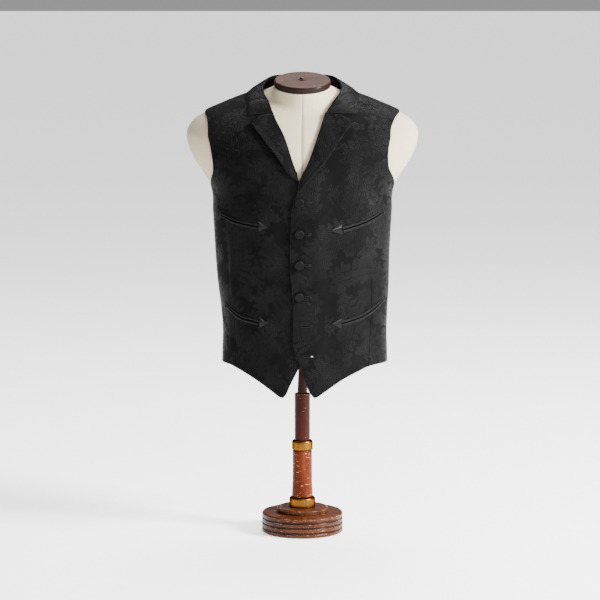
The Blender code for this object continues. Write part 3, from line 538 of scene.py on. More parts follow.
def with_close_ends(count, first=0.0045):
    """Shares from 0 to 1 whose ends lie closer, for a pressed edge."""
    between = np.linspace(2.2 * first, 1 - 2.2 * first, count - 4)
    return np.concatenate([[0, first], between, [1 - first, 1]])


# ---- the woven figure


def near_line(x, y, line):
    """Share along a line of points, its length, and the distance from it."""
    line = np.asarray(line, float)
    run = run_along(line)
    best, along = np.full(x.shape, 1e9), np.zeros(x.shape)
    for k in range(len(line) - 1):
        a, d = line[k], line[k + 1] - line[k]
        t = np.clip(((x - a[0]) * d[0] + (y - a[1]) * d[1]) / (d @ d), 0, 1)
        gap = np.hypot(x - a[0] - t * d[0], y - a[1] - t * d[1])
        closer = gap < best
        best = np.where(closer, gap, best)
        along = np.where(closer, run[k] + t * (run[k + 1] - run[k]), along)
    return along / run[-1], run[-1], best


class Repeat:
    """One repeat of the weave. The next repeat to the side lies half a repeat lower."""

    def __init__(self):
        self.figure = np.full((REPEAT_TALL, REPEAT_WIDE), -4.0)
        self.phase = np.zeros((REPEAT_TALL, REPEAT_WIDE))

    def paint(self, x, y, reach, field):
        """Lays a motif over what is there; field gives how far inside a point is, and its ribs."""
        across = np.arange(math.floor(x - reach), math.ceil(x + reach) + 1)
        up = np.arange(math.floor(y - reach), math.ceil(y + reach) + 1)
        px, py = np.meshgrid(across, up)
        inside, phase = field(px - x, py - y)
        columns = px % REPEAT_WIDE
        rows = (py - (px // REPEAT_WIDE) * (REPEAT_TALL // 2)) % REPEAT_TALL
        over = inside > -OUTLINE
        self.figure[rows[over], columns[over]] = np.clip(inside[over], -4, 4)
        self.phase[rows[over], columns[over]] = phase[over]

    def lobe(self, x, y, turn, length, half, curl=0.0, pitch=3.6, teeth=0.0):
        """A rounded lobe with curved ribs across it and a short vein."""
        cos, sin = math.cos(turn), math.sin(turn)

        def field(dx, dy):
            a = dx * cos + dy * sin
            b = dy * cos - dx * sin - curl * a * np.abs(a) / length
            share = np.clip(a / length, 0.001, 0.999)
            tooth = np.abs((a / 5.0 + 0.5) % 1 - 0.5)
            wide = half * np.sin(math.pi * share**1.35) ** 0.6 * (1 - teeth + 2 * teeth * tooth)
            inside = np.where((a < 0) | (a > length), -4, wide - np.abs(b))
            vein = np.abs(b) - 0.25 + 4 * (share > 0.55)
            return np.minimum(inside, vein), (a - 0.55 * b * b / half) / pitch

        self.paint(x, y, length * (1.15 + abs(curl)), field)

    def plume(self, plume):
        """A ribbed stem with a fringe of hanging lobes along both sides."""
        a, b, c = np.array(plume[:6], float).reshape(3, 2)
        for k in range(plume.lobes, 0, -1):
            u = k / (plume.lobes + 1)
            slope = 2 * (b - a) * (1 - u) + 2 * (c - b) * u
            turn = math.atan2(slope[1], slope[0])
            swell = math.sin(math.pi * (0.12 + 0.88 * u) ** 0.9) ** 0.55
            for side, share in ((1, 1.0), (-1, 0.86)):
                out = np.array((-math.sin(turn), math.cos(turn))) * side
                reach = plume.reach * (0.62 + 0.38 * swell) * share * (1 + 0.16 * math.sin(2.4 * k + side))
                lean = turn + side * (1.02 - 0.3 * u)
                root = arc(a, b, c, u) + out * plume.half * 0.2 * swell
                self.lobe(*root, lean, reach, 6.2, side * 0.26, 4.2, 0.08)
        line = arc(a, b, c, np.linspace(0, 1, 40)[:, None])
        middle = line.mean(axis=0)

        def body(dx, dy):
            share, length, gap = near_line(dx + middle[0], dy + middle[1], line)
            wide = plume.half * 0.42 * np.sin(math.pi * np.clip(share, 0.002, 0.998) ** 0.8) ** 0.6
            wave = np.abs(np.sin(math.pi * plume.lobes * share))
            inside = np.minimum(wide * (0.55 + 0.45 * wave) - gap, gap - 0.7)
            return inside, (share * length - 1.25 * gap) / 4.8

        self.paint(*middle, np.linalg.norm(c - a) * 0.6 + plume.half, body)
        slope = line[-1] - line[-4]
        self.lobe(*line[-6], math.atan2(slope[1], slope[0]), plume.reach * 0.95, 7.5, 0.1, 3.6, 0.1)

    def spray(self, spray):
        """Toothed leaves fanned out from one place, the outer ones underneath."""
        for off in sorted(np.linspace(-1, 1, spray.count), key=lambda share: -abs(share)):
            turn = math.radians(spray.turn + off * spray.spread / 2)
            reach = spray.length * (1 - 0.30 * abs(off))
            self.lobe(spray.x, spray.y, turn, reach, reach * 0.21, 0.12 * off, 3.8, 0.22)

    def scroll(self, scroll):
        """A curling stem that ends in a knob, with small leaves along its outer turn."""
        t = np.linspace(0, 1, 40)
        angle = math.radians(scroll.start) + scroll.turns * math.tau * t
        radius = scroll.radius * (1 - 0.86 * t**0.8)
        line = np.stack([radius * np.cos(angle), radius * np.sin(angle)], axis=1)
        for k in range(2, 20, 3):
            lean = angle[k] + math.copysign(0.5, scroll.turns)
            self.lobe(scroll.x + line[k, 0], scroll.y + line[k, 1], lean, 11, 3.4)

        def field(dx, dy):
            share, length, gap = near_line(dx, dy, line)
            inside = scroll.half * (0.62 + 0.38 * share) * step(-0.1, 0.12, share) - gap
            end = scroll.half * 1.35 - np.hypot(dx - line[-1, 0], dy - line[-1, 1])
            return np.maximum(inside, end), (share * length + 0.6 * gap) / 4.0

        self.paint(scroll.x, scroll.y, scroll.radius + scroll.half + 3, field)

    def bloom(self, bloom):
        """A flower of three rings of petals."""
        for ring, (share, count) in enumerate(((1.0, bloom.petals), (0.68, bloom.petals), (0.36, 5))):
            for k in range(count):
                turn = math.tau * (k + 0.5 * ring) / count
                reach = bloom.radius * share
                self.lobe(bloom.x, bloom.y, turn, reach, reach * 1.9 / count)


def damask_repeat():
    """How far inside the figure each millimetre of the repeat lies, and the phase of its ribs."""
    repeat = Repeat()
    for paint, motifs in (
        (repeat.scroll, SCROLLS), (repeat.spray, SPRAYS), (repeat.plume, PLUMES), (repeat.bloom, BLOOMS),
    ):
        for motif in motifs:
            paint(motif)
    return repeat.figure, repeat.phase


DAMASK_FIGURE, DAMASK_PHASE = damask_repeat()


def woven_at(u, v):
    """Figure and rib phase of the damask at places on the flat cloth, in millimetres."""
    drop = np.floor(u / REPEAT_WIDE)
    u = u - drop * REPEAT_WIDE
    v = (v - drop * REPEAT_TALL / 2) % REPEAT_TALL
    tall, wide = DAMASK_FIGURE.shape
    left, low = np.floor(u).astype(int), np.floor(v).astype(int)
    fu, fv = u - left, v - low
    left, low = np.minimum(left, wide - 1), low % tall
    right, high = np.minimum(left + 1, wide - 1), (low + 1) % tall
    corners = ((low, left, (1 - fu) * (1 - fv)), (low, right, fu * (1 - fv)),
               (high, left, (1 - fu) * fv), (high, right, fu * fv))
    figure = sum(DAMASK_FIGURE[a, b] * share for a, b, share in corners)
    nearest = DAMASK_PHASE[np.where(fv > 0.5, high, low), np.where(fu > 0.5, right, left)]
    blend = sum(DAMASK_PHASE[a, b] * share for a, b, share in corners)
    return figure, np.where(np.abs(blend - nearest) < 0.4, blend, nearest)


# ---- finishes


class Value:
    """A socket that adds Math nodes when it is used in an expression."""

    def __init__(self, finish, socket):
        self.finish, self.socket = finish, socket

    def _math(self, operation, *values):
        return self.finish.node("ShaderNodeMath", {"operation": operation}, dict(enumerate(values)))

    def __add__(self, other):
        return self._math("ADD", self, other)

    def __sub__(self, other):
        return self._math("SUBTRACT", self, other)

    def __rsub__(self, other):
        return self._math("SUBTRACT", other, self)

    def __mul__(self, other):
        return self._math("MULTIPLY", self, other)

    def sine(self):
        return self._math("SINE", self)

    __radd__, __rmul__ = __add__, __mul__


class Finish:
    """A material whose surface is worked out by nodes."""

    def __init__(self, name, **constants):
        self.material = bpy.data.materials.new(name)
        self.material.use_nodes = True
        self.tree = self.material.node_tree
        self.shader = self.tree.nodes["Principled BSDF"]
        for socket, value in constants.items():
            self.shader.inputs[socket.replace("_", " ")].default_value = value

    def node(self, kind, settings=None, sockets=None, output=0):
        """Any node, with its settings, its sockets' values or links, and the output wanted of it."""
        made = self.tree.nodes.new(kind)
        for key, value in (settings or {}).items():
            if key == "stops":
                ramp = made.color_ramp
                while len(ramp.elements) < len(value):
                    ramp.elements.new(0.5)
                for element, (position, colour) in zip(ramp.elements, value):
                    element.position, element.color = position, (*colour, 1)
            else:
                setattr(made, key, value)
        for key, value in (sockets or {}).items():
            if isinstance(value, Value):
                self.tree.links.new(value.socket, made.inputs[key])
            else:
                made.inputs[key].default_value = value
        return Value(self, made.outputs[output])

    def attribute(self, name):
        return self.node("ShaderNodeAttribute", {"attribute_name": name}, output="Fac")

    def place(self, scale=(1, 1, 1), uv=False, turn=0.0):
        """Coordinates in metres, of the object or of the flat cloth, scaled and turned."""
        kind, output = ("ShaderNodeUVMap", 0) if uv else ("ShaderNodeTexCoord", "Object")
        found = self.node(kind, {"uv_map": "cloth"} if uv else {}, output=output)
        turned_to = {0: found, "Scale": scale, "Rotation": (0, 0, turn)}
        return self.node("ShaderNodeMapping", {}, turned_to)

    def noise(self, where, scale, detail=3.0, roughness=0.55):
        sockets = {"Vector": where, "Scale": scale, "Detail": detail, "Roughness": roughness}
        return self.node("ShaderNodeTexNoise", {}, sockets)

    def stripes(self, where, scale, axis="X"):
        """A sine between 0 and 1 along one axis, scale waves a metre."""
        parts = self.node("ShaderNodeSeparateXYZ", {}, {0: where}, output=axis)
        return (parts * (scale * math.tau)).sine() * 0.5 + 0.5

    def fade(self, value, low, high):
        """Rises smoothly from 0 to 1 as a value goes from low to high."""
        settings = {"interpolation_type": "SMOOTHSTEP"}
        return self.node("ShaderNodeMapRange", settings, {0: value, 1: low, 2: high})

    def mix(self, share, first, second):
        """Blends two colours, each a link or three numbers."""
        first, second = (c if isinstance(c, Value) else (*c, 1) for c in (first, second))
        return self.node("ShaderNodeMix", {"data_type": "RGBA"}, {0: share, 6: first, 7: second}, output=2)

    def shade(self, colour, share):
        """A colour times a number."""
        return self.node("ShaderNodeVectorMath", {"operation": "SCALE"}, {0: colour, "Scale": share})

    def bump(self, height, deep):
        return self.node("ShaderNodeBump", {}, {"Height": height, "Strength": 1.0, "Distance": deep})

    def wire(self, **links):
        """Links the shader's sockets and hands over the material."""
        for socket, value in links.items():
            self.tree.links.new(value.socket, self.shader.inputs[socket.replace("_", " ")])
        return self.material


def black_damask():
    """Satin leaves with curved ribs on a dull ground, corded across. The figure's lighter tone and rib
    bands are painted sheen, and the cloth along the darts' seams is painted shade.
    """
    look = Finish("black_damask", Specular_IOR_Level=0.03)
    figure, phase, seam = look.attribute("figure"), look.attribute("phase"), look.attribute("seam")
    cloth = look.place(uv=True)
    mask = look.fade(figure, -0.5, 0.6)
    ribs = (phase * math.tau).sine() * 0.5 + 0.5
    cords = look.stripes(look.place(uv=True, turn=0.6), 560)
    twill = look.stripes(look.place(uv=True, turn=-0.85), 900)
    cloudy = look.noise(cloth, 9, 3)
    flecks = look.noise(look.place((1, 0.25, 1), True), 900, 2, 0.6)
    # painted sheen: the figure is painted lighter than the ground and its ribs in light and dark bands, for
    # the satin's sheen; where the figure lies is the woven pattern
    lit = look.mix(ribs, (0.0014, 0.0013, 0.0014), (0.0088, 0.0084, 0.0086))
    lit = look.shade(lit, cords * 0.24 + 0.86)
    ground = look.mix(twill * 0.5 + cloudy * 0.5, (0.0011, 0.0010, 0.0011), (0.0036, 0.0033, 0.0036))
    faint = look.noise(cloth, 15, 2, 0.5)
    colour = look.mix(mask * look.fade(faint, 0.30, 0.66) * 0.75 + mask * 0.25, ground, lit)
    colour = look.shade(colour, cloudy * 0.8 + flecks * 0.5 + 0.37)
    # painted shade: near-black along the darts' seams, where their groove lies in shade
    colour = look.mix(look.fade(seam, 1.1, 0.35) * 0.85, colour, (0.001, 0.001, 0.001))
    rough = look.node("ShaderNodeMix", {}, {0: mask, 2: 0.60, 3: 0.42}) + ribs * 0.10 - 0.05
    relief = mask * (ribs * 0.6 + 0.4) + cords * 0.10 + twill * 0.08 + look.fade(seam, 0.2, 1.6) * 1.4
    return look.wire(Base_Color=colour, Roughness=rough, Normal=look.bump(relief, 0.00050))


def plain_cloth(name, dark, light, rough, pitch, shine=0.15):
    """A fine twill with slubs."""
    look = Finish(name, Specular_IOR_Level=shine)
    cloth = look.place(uv=True)
    twill = look.stripes(look.place(uv=True, turn=0.7), pitch)
    across = look.stripes(cloth, pitch * 0.8)
    cloudy = look.noise(cloth, 14, 3)
    slubs = look.noise(look.place((1, 14, 1), True), 60, 2, 0.6)
    share = twill * 0.35 + cloudy * 0.35 + slubs * 0.30
    colour = look.mix(share, dark, light)
    relief = twill * 0.6 + across * 0.3 + slubs * 0.3
    return look.wire(Base_Color=colour, Roughness=cloudy * 0.12 + rough, Normal=look.bump(relief, 0.00016))


def silk_satin(name, dark, light, rough, pitch):
    """Satin or laid silk thread: fine ridges across, with a soft sheen."""
    look = Finish(name, Specular_IOR_Level=0.10)
    cloth = look.place(uv=True)
    ridges = look.stripes(cloth, pitch, "Y")
    worn = look.noise(cloth, 120, 3)
    colour = look.mix(ridges * 0.5 + worn * 0.5, dark, light)
    return look.wire(
        Base_Color=colour, Roughness=worn * 0.16 + rough, Normal=look.bump(ridges + worn * 0.4, 0.00022)
    )


def form_linen():
    """Undyed linen over the padding: a plain weave of uneven threads, slightly soiled."""
    look = Finish("form_linen", Specular_IOR_Level=0.2)
    where = look.place(uv=True)
    warp = look.stripes(where, 620)
    weft = look.stripes(where, 620, "Y")
    slub_up = look.noise(look.place((14, 1, 1), True), 60, 3, 0.6)
    slub_across = look.noise(look.place((1, 14, 1), True), 60, 3, 0.6)
    soil = look.noise(look.place(), 5, 4, 0.6)
    threads = warp * weft * 0.4 + slub_up * 0.3 + slub_across * 0.3
    colour = look.mix(threads, (0.40, 0.335, 0.225), (0.56, 0.485, 0.345))
    colour = look.mix(look.fade(soil, 0.52, 0.75) * 0.35, colour, (0.36, 0.295, 0.195))
    seam = look.attribute("seam")
    # painted shade: darker brown along the cover's seams, where their groove lies in shade
    colour = look.mix(look.fade(seam, 1.2, 0.3) * 0.7, colour, (0.15, 0.12, 0.085))
    relief = warp * weft * 0.5 + slub_up * 0.4 + slub_across * 0.4 + look.fade(seam, 0.3, 2.4) * 2.0
    return look.wire(Base_Color=colour, Roughness=soil * 0.1 + 0.8, Normal=look.bump(relief, 0.00030))


def varnished_wood(name, dark, middle, light, pale, wear, rough, grain=(9, 9, 1.1), coat=0.5):
    """Stained and varnished wood: grain along it, scratches, and edges chipped to pale wood."""
    look = Finish(name, Coat_Roughness=0.14, Specular_IOR_Level=0.05)
    along = look.place(grain)
    figure = look.noise(along, 9, 6, 0.62)
    pores = look.noise(look.place(tuple(g * 4 for g in grain)), 34, 3, 0.7)
    stain = look.noise(look.place((3, 3, 3)), 2.2, 4, 0.6)
    colour = look.node(
        "ShaderNodeValToRGB", {"stops": ((0.30, dark), (0.52, middle), (0.72, light))},
        {0: figure * 0.75 + stain * 0.25},
    )
    colour = look.shade(colour, look.fade(pores, 0.38, 0.56) * 0.5 + 0.5)
    scratches = look.noise(look.place((26, 26, 150)), 3.2, 2, 0.5)
    chips = look.noise(look.place((1, 1, 2.5)), 210, 4, 0.65)
    fine = look.noise(look.place((1, 1, 2.2)), 300, 3, 0.6)
    edge, shaded = look.attribute("edge"), look.attribute("shaded")
    worn = look.fade(scratches, 0.715 - wear, 0.735 - wear) * 0.75
    worn = worn + look.fade(chips * 0.75 + edge * 0.26, 0.645, 0.685) * edge
    worn = worn + look.fade(fine, 0.735 - wear, 0.755 - wear) * 0.5
    worn = look.fade(worn, 0.05, 0.9)
    colour = look.mix(worn, colour, pale)
    # painted shade: the base's grooves and the neck block's side are darkened where shade falls
    colour = look.shade(colour, 1 - shaded * 0.78)
    gloss = look.noise(look.place(), 30, 3)
    return look.wire(
        Base_Color=colour, Roughness=gloss * 0.16 + worn * 0.25 + rough,
        Coat_Weight=(1 - worn) * coat,
        Normal=look.bump(pores * 0.3 - worn * 1.0 + figure * 0.2, 0.00010),
    )


def old_brass():
    """Turned brass: fine rings, handled to a soft shine, with brown tarnish in places."""
    look = Finish("old_brass", Metallic=1.0, Specular_Tint=(0.22, 0.12, 0.05, 1))
    rings = look.stripes(look.place(), 900, "Z")
    streaks = look.noise(look.place((1, 1, 40)), 12, 3)
    tarnish = look.noise(look.place(), 55, 5, 0.65)
    colour = look.mix(streaks, (0.10, 0.041, 0.006), (0.20, 0.093, 0.016))
    dull = look.fade(tarnish, 0.52, 0.68) * 0.75 + look.attribute("edge") * 0.12
    colour = look.mix(dull, colour, (0.07, 0.026, 0.007))
    return look.wire(
        Base_Color=colour, Roughness=dull * 0.28 + streaks * 0.08 + 0.24,
        Normal=look.bump(rings * 0.5 + tarnish * 0.4, 0.00006),
    )


# ---- making pieces


def in_scene(name, data):
    """An object of a name, put in the scene."""
    made = bpy.data.objects.new(name, data)
    bpy.context.scene.collection.objects.link(made)
    return made


def mesh_from(shape, name):
    """Turns a working shape into a mesh and lets the shape go."""
    mesh = bpy.data.meshes.new(name)
    shape.to_mesh(mesh)
    shape.free()
    return mesh


def finished(name, mesh, looks, node=None, thickness=0.0, sharp=50):
    """Puts a mesh in the scene and lets it ride.

    A cloth's thickness goes inwards from its face, with the second look, its lining, on the inside.
    """
    piece = in_scene(name, mesh)
    for look in looks:
        mesh.materials.append(look)
    if thickness:
        wall = piece.modifiers.new("wall", "SOLIDIFY")
        wall.thickness, wall.offset = thickness * MM, -1
        wall.material_offset, wall.material_offset_rim = 1, 0
        graph = bpy.context.evaluated_depsgraph_get()
        applied = bpy.data.meshes.new_from_object(piece.evaluated_get(graph), depsgraph=graph)
        piece.modifiers.clear()
        piece.data = applied
    piece.data.name = name
    piece.data.shade_smooth()
    piece.data.set_sharp_from_angle(angle=math.radians(sharp))
    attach(piece, BODY)
    if node:
        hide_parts(node)
    return piece


def set_fields(mesh, fields, uv):
    """Gives a mesh its per-point fields, and its flat cloth coordinates in metres."""
    for name, values in fields.items():
        layer = mesh.attributes.new(name, "FLOAT", "POINT")
        layer.data.foreach_set("value", np.asarray(values, np.float32).reshape(-1))
    corners = np.empty(len(mesh.loops), np.int32)
    mesh.loops.foreach_get("vertex_index", corners)
    layer = mesh.uv_layers.new(name="cloth")
    flat = np.reshape(uv, (2, -1)).T * MM
    layer.data.foreach_set("uv", flat[corners].astype(np.float32).reshape(-1))


def cloth_mesh(name, points, flip, fields=None, uv=None, closed=False):
    """A grid laid on its form; closed joins its last column to its first."""
    rows, columns = points.shape[:2]
    shape = bmesh.new()
    bmesh.ops.create_grid(shape, x_segments=columns - 1, y_segments=rows - 1, size=0.5)
    if flip:
        bmesh.ops.reverse_faces(shape, faces=shape.faces)
    mesh = mesh_from(shape, name)
    mesh.vertices.foreach_set("co", (points * MM).astype(np.float32).reshape(-1))
    set_fields(mesh, fields or {}, lengths(points) if uv is None else uv)
    if closed:
        shape = bmesh.new()
        shape.from_mesh(mesh)
        bmesh.ops.remove_doubles(shape, verts=shape.verts, dist=0.00002)
        shape.to_mesh(mesh)
        shape.free()
    mesh.update()
    return mesh


def damask_fields(u, v, seam=NO_SEAM):
    """What the damask's look reads at each point."""
    figure, phase = woven_at(u, v)
    return {"figure": figure, "phase": phase, "seam": np.broadcast_to(seam, u.shape)}


def facing(points):
    """Unit normals of a grid of points."""
    return unit(np.cross(np.gradient(points, axis=1), np.gradient(points, axis=0)))


def lifted(points, edge, rise, reach):
    """Stands a turned cloth's free edge off what lies under it, so that it casts a thin shadow."""
    return points + facing(points) * (rise * (1 - step(0, reach, edge)))[..., None]


def pressed(points, edge, side, roll, reach):
    """Rounds a cloth down towards its free edges; edge is each point's distance from them.

    side is 1 for a grid that faces outwards and -1 for one that is turned the other way.
    """
    drop = side * roll * (1 - np.clip(edge / reach, 0, 1)) ** 2
    return points - facing(points) * drop[..., None]


CHEST_RUN = run_along(torso(np.linspace(-90, 90, 181), 600.0, 1))
FRONT_RUN = run_along(torso(-55.0, STATIONS, 1))


def flat_place(phi, station):
    """Where a point of the worn cloth lies on the flat cloth, with the grain upright."""
    u = np.interp(np.abs(phi + 90), np.arange(181.0), CHEST_RUN) * np.sign(phi + 90)
    return u, np.interp(station, STATIONS, FRONT_RUN)


def seam_distance(side, out, z):
    """Distance from the nearest dart's line on a front, in millimetres, up to NO_SEAM."""
    best = np.full(out.shape, NO_SEAM)
    for dart in DARTS:
        if dart.side == side:
            gap = near_line(out, z, [(dart.out_low, dart.z_low), (dart.out_high, dart.z_high)])[2]
            best = np.minimum(best, gap)
    return best


def front_grid(edge, armhole, hem, columns, rows):
    """phi and station of a front's points, from its edge across and from its hem up."""
    s, t = with_close_ends(columns), with_close_ends(rows, CLOSE_ROW)
    edge_phi, edge_station = front_border(edge, t)
    seen = front_place([m.out for m in armhole], [m.z for m in armhole])
    turns = UNDERARM_FRONT + tuple(zip([m.share for m in armhole], *seen))
    side_phi, side_station = side_border(turns, t)
    phi = across_blend(edge_phi, side_phi, s)
    station = across_blend(edge_station, side_station, s)
    hem_phi, hem_station = carried_on(hem, (SIDE_SEAM, SIDE_HEM), s)
    fade = (1 - step(0, HEM_FADE, t))[:, None]
    phi = phi + fade * (hem_phi - phi[0])
    station = station + fade * (hem_station - station[0])
    return phi, station, t


def waistcoat_front(name, side, edge, armhole, hem, node, drift, columns=150, rows=282):
    """One front, with its darts, its buttonholes if it lies on top, and its stitching."""
    phi, station, t = front_grid(edge, armhole, hem, columns, rows)
    base = torso(phi, station, 1)
    crease = folds(side, base[..., 0], base[..., 2], CREASES)
    if side > 0:
        crease = crease + puckers(base[..., 0], base[..., 2])
    dent = seam_distance(side, base[..., 0], base[..., 2])
    points = part_seam(front_point(side, phi, station, CLOTH + crease), ("right", "top"))
    along, up = lengths(points)
    from_side = np.where(t[:, None] > UNDERARM_SHARE, along[:, -1:] - along, FAR)
    free = np.minimum(np.minimum(along, up), from_side)
    u, v = flat_place(phi, station)
    mesh = cloth_mesh(
        name, pressed(points, free, side, *FRONT_PRESS), side < 0,
        damask_fields(u + drift[0], v + drift[1], dent), (u, v),
    )
    if side > 0:
        cut_slits(mesh)
    made = finished(name, mesh, (DAMASK, BACK_CLOTH), node, CLOTH)
    stitch_edge(f"{name}_edge_stitching", points, along, up, from_side, side)
    return made


def puckers(out, z):
    """The left front is drawn in round its fastened buttons."""
    total = np.zeros(out.shape)
    for row in BUTTONS:
        if row.fastened:
            away = np.hypot(out - row.out, z - row.z)
            total = total - PUCKER * np.exp(-(((away - BUTTON_RADIUS) / PUCKER_WIDE) ** 2))
    return total


def slit_ends(row):
    """Where a buttonhole's cut starts and ends; only the end of the lowest one gapes."""
    shut = GAPE * (row.hole_end - row.hole_start) if row is BUTTONS[-1] else HOLE_INSET
    return row.hole_start + shut, row.hole_end - HOLE_INSET


def cut_slits(mesh):
    """Cuts the buttonholes through the left front's face."""
    shape = bmesh.new()
    shape.from_mesh(mesh)
    for row in BUTTONS:
        start, end = slit_ends(row)
        middle, half = (start + end) / 2, (end - start) / 2
        turn = front_frame(1, middle, row.z, CLOTH)
        into = turn.inverted()
        tall, wide = HOLE_HALF * MM, half * MM
        near = [face for face in shape.faces if (into @ face.calc_center_median()).length < HOLE_NEAR * MM]
        for x, y in ((0, 1), (0, -1), (1, 0), (-1, 0)):
            around = dict.fromkeys(part for face in near for part in (*face.verts, *face.edges))
            cut = bmesh.ops.bisect_plane(
                shape, geom=[*around, *near], dist=1e-6,
                plane_co=turn @ Vector((x * wide, y * tall, 0)), plane_no=turn.to_3x3() @ Vector((x, y, 0)),
            )
            near = [part for part in cut["geom"] if isinstance(part, bmesh.types.BMFace)]
        inside = []
        for face in near:
            spot = into @ face.calc_center_median()
            if abs(spot.x) < wide and abs(spot.y) < tall and abs(spot.z) < HOLE_DEEP * MM:
                inside.append(face)
        bmesh.ops.delete(shape, geom=inside, context="FACES")
    shape.to_mesh(mesh)
    shape.free()


def at_run(distance, run, values):
    """Three-part values along a line, read at a distance run."""
    return np.array([np.interp(distance, run, values[:, k]) for k in range(3)])


def running_stitch(name, lines):
    """Small separate stitches along lines of (points, outward directions), as one piece."""
    shape = bmesh.new()
    size = Matrix.Diagonal((STITCH_LONG * MM, STITCH_WIDE * MM, STITCH_TALL * MM, 1))
    for points, outs in lines:
        run = run_along(points)
        for start in np.arange(1.0, run[-1] - STITCH_LONG, STITCH_LONG + STITCH_GAP):
            first, last = at_run(start, run, points), at_run(start + STITCH_LONG, run, points)
            out = Vector(at_run(start, run, outs)).normalized()
            along = Vector(last - first).normalized()
            turn = Matrix((along, out.cross(along).normalized(), out)).transposed().to_4x4()
            place = Matrix.Translation(Vector((first + last) / 2) * MM)
            bmesh.ops.create_icosphere(shape, subdivisions=1, radius=0.56, matrix=place @ turn @ size)
    finished(name, mesh_from(shape, name), (STITCHING,))


def inset_line(points, run, distance, flip):
    """Points at a distance in from the start of each row of a grid, with their outward directions."""
    found = np.array([at_run(distance, *row) for row in zip(run, points)])
    along = np.gradient(found, axis=0)
    inward = points[:, 6] - points[:, 0]
    out = np.cross(inward, along) * (-1 if flip else 1)
    return found, unit(out)


def stitch_edge(name, points, along, up, from_side, side):
    """Stitching a little way in from the front edge, the hem and the armhole."""
    top = int(len(points) * EDGE_TOP)
    flip = side < 0
    edge = inset_line(points[4:top], along[4:top], STITCH_INSET, flip)
    hem = inset_line(np.swapaxes(points, 0, 1)[2:-2], up.T[2:-2], STITCH_INSET, not flip)
    arm_rows = slice(int(len(points) * ARMHOLE_LOW), len(points) - 4)
    arm = inset_line(points[arm_rows, ::-1], from_side[arm_rows, ::-1], ARMHOLE_INSET, not flip)
    running_stitch(name, (edge, hem, arm))


def waistcoat_back(name, side, node, columns=74, rows=200):
    """Half of the back, from the side seam (first column) to the centre seam."""
    s, t = with_close_ends(columns), with_close_ends(rows, CLOSE_ROW)
    side_phi, side_station = side_border(ARMHOLE_BACK, t)
    middle_station = smooth((0, UNDERARM_SHARE, 1), (BACK_HEM, 735, BACK_NECK), t)
    phi = across_blend(side_phi, np.full(len(t), 90.0), s)
    station = across_blend(side_station, middle_station, s)
    tip, point = ridge_station(SHOULDER_TIP), ridge_station(NECK_POINT)
    neck_phi, neck_station = back_neckline(np.clip((s - BACK_NECK_SHARE) / (1 - BACK_NECK_SHARE), 0, 1))
    on_seam = s <= BACK_NECK_SHARE
    top_phi = np.where(on_seam, SHOULDER_SEAM, neck_phi)
    top_station = np.where(on_seam, tip + (point - tip) * s / BACK_NECK_SHARE, neck_station)
    fade = step(UNDERARM_SHARE, 1, t)[:, None]
    phi = phi + fade * (top_phi - phi[-1])
    station = station + fade * (top_station - station[-1])
    base = torso(phi, station, 1)
    out, z = base[..., 0], base[..., 2]
    rise = CLOTH + folds(0, out, z) + folds(0, out, z, CREASES) + sway(side, out, z)
    points = (base + normal(phi, station) * rise[..., None]) * (side, 1, 1)
    part_seam(points, ("left", "right"))
    part_seam(points[:, :on_seam.sum()], ("top",))
    mesh = cloth_mesh(name, points, side < 0, None, flat_place(phi, station))
    return finished(name, mesh, (BACK_CLOTH, BACK_CLOTH), node, CLOTH)


def round_back(ridge, middle, share):
    """phi and station from the shoulder seam, at a station, round to one at the centre back."""
    return SHOULDER_SEAM + (90 - SHOULDER_SEAM) * share, ridge + (middle - ridge) * step(0, 1, share)


def back_neckline(share):
    """phi and station along the back's neckline, from the shoulder seam to the centre."""
    return round_back(ridge_station(NECK_POINT), BACK_NECK, share)


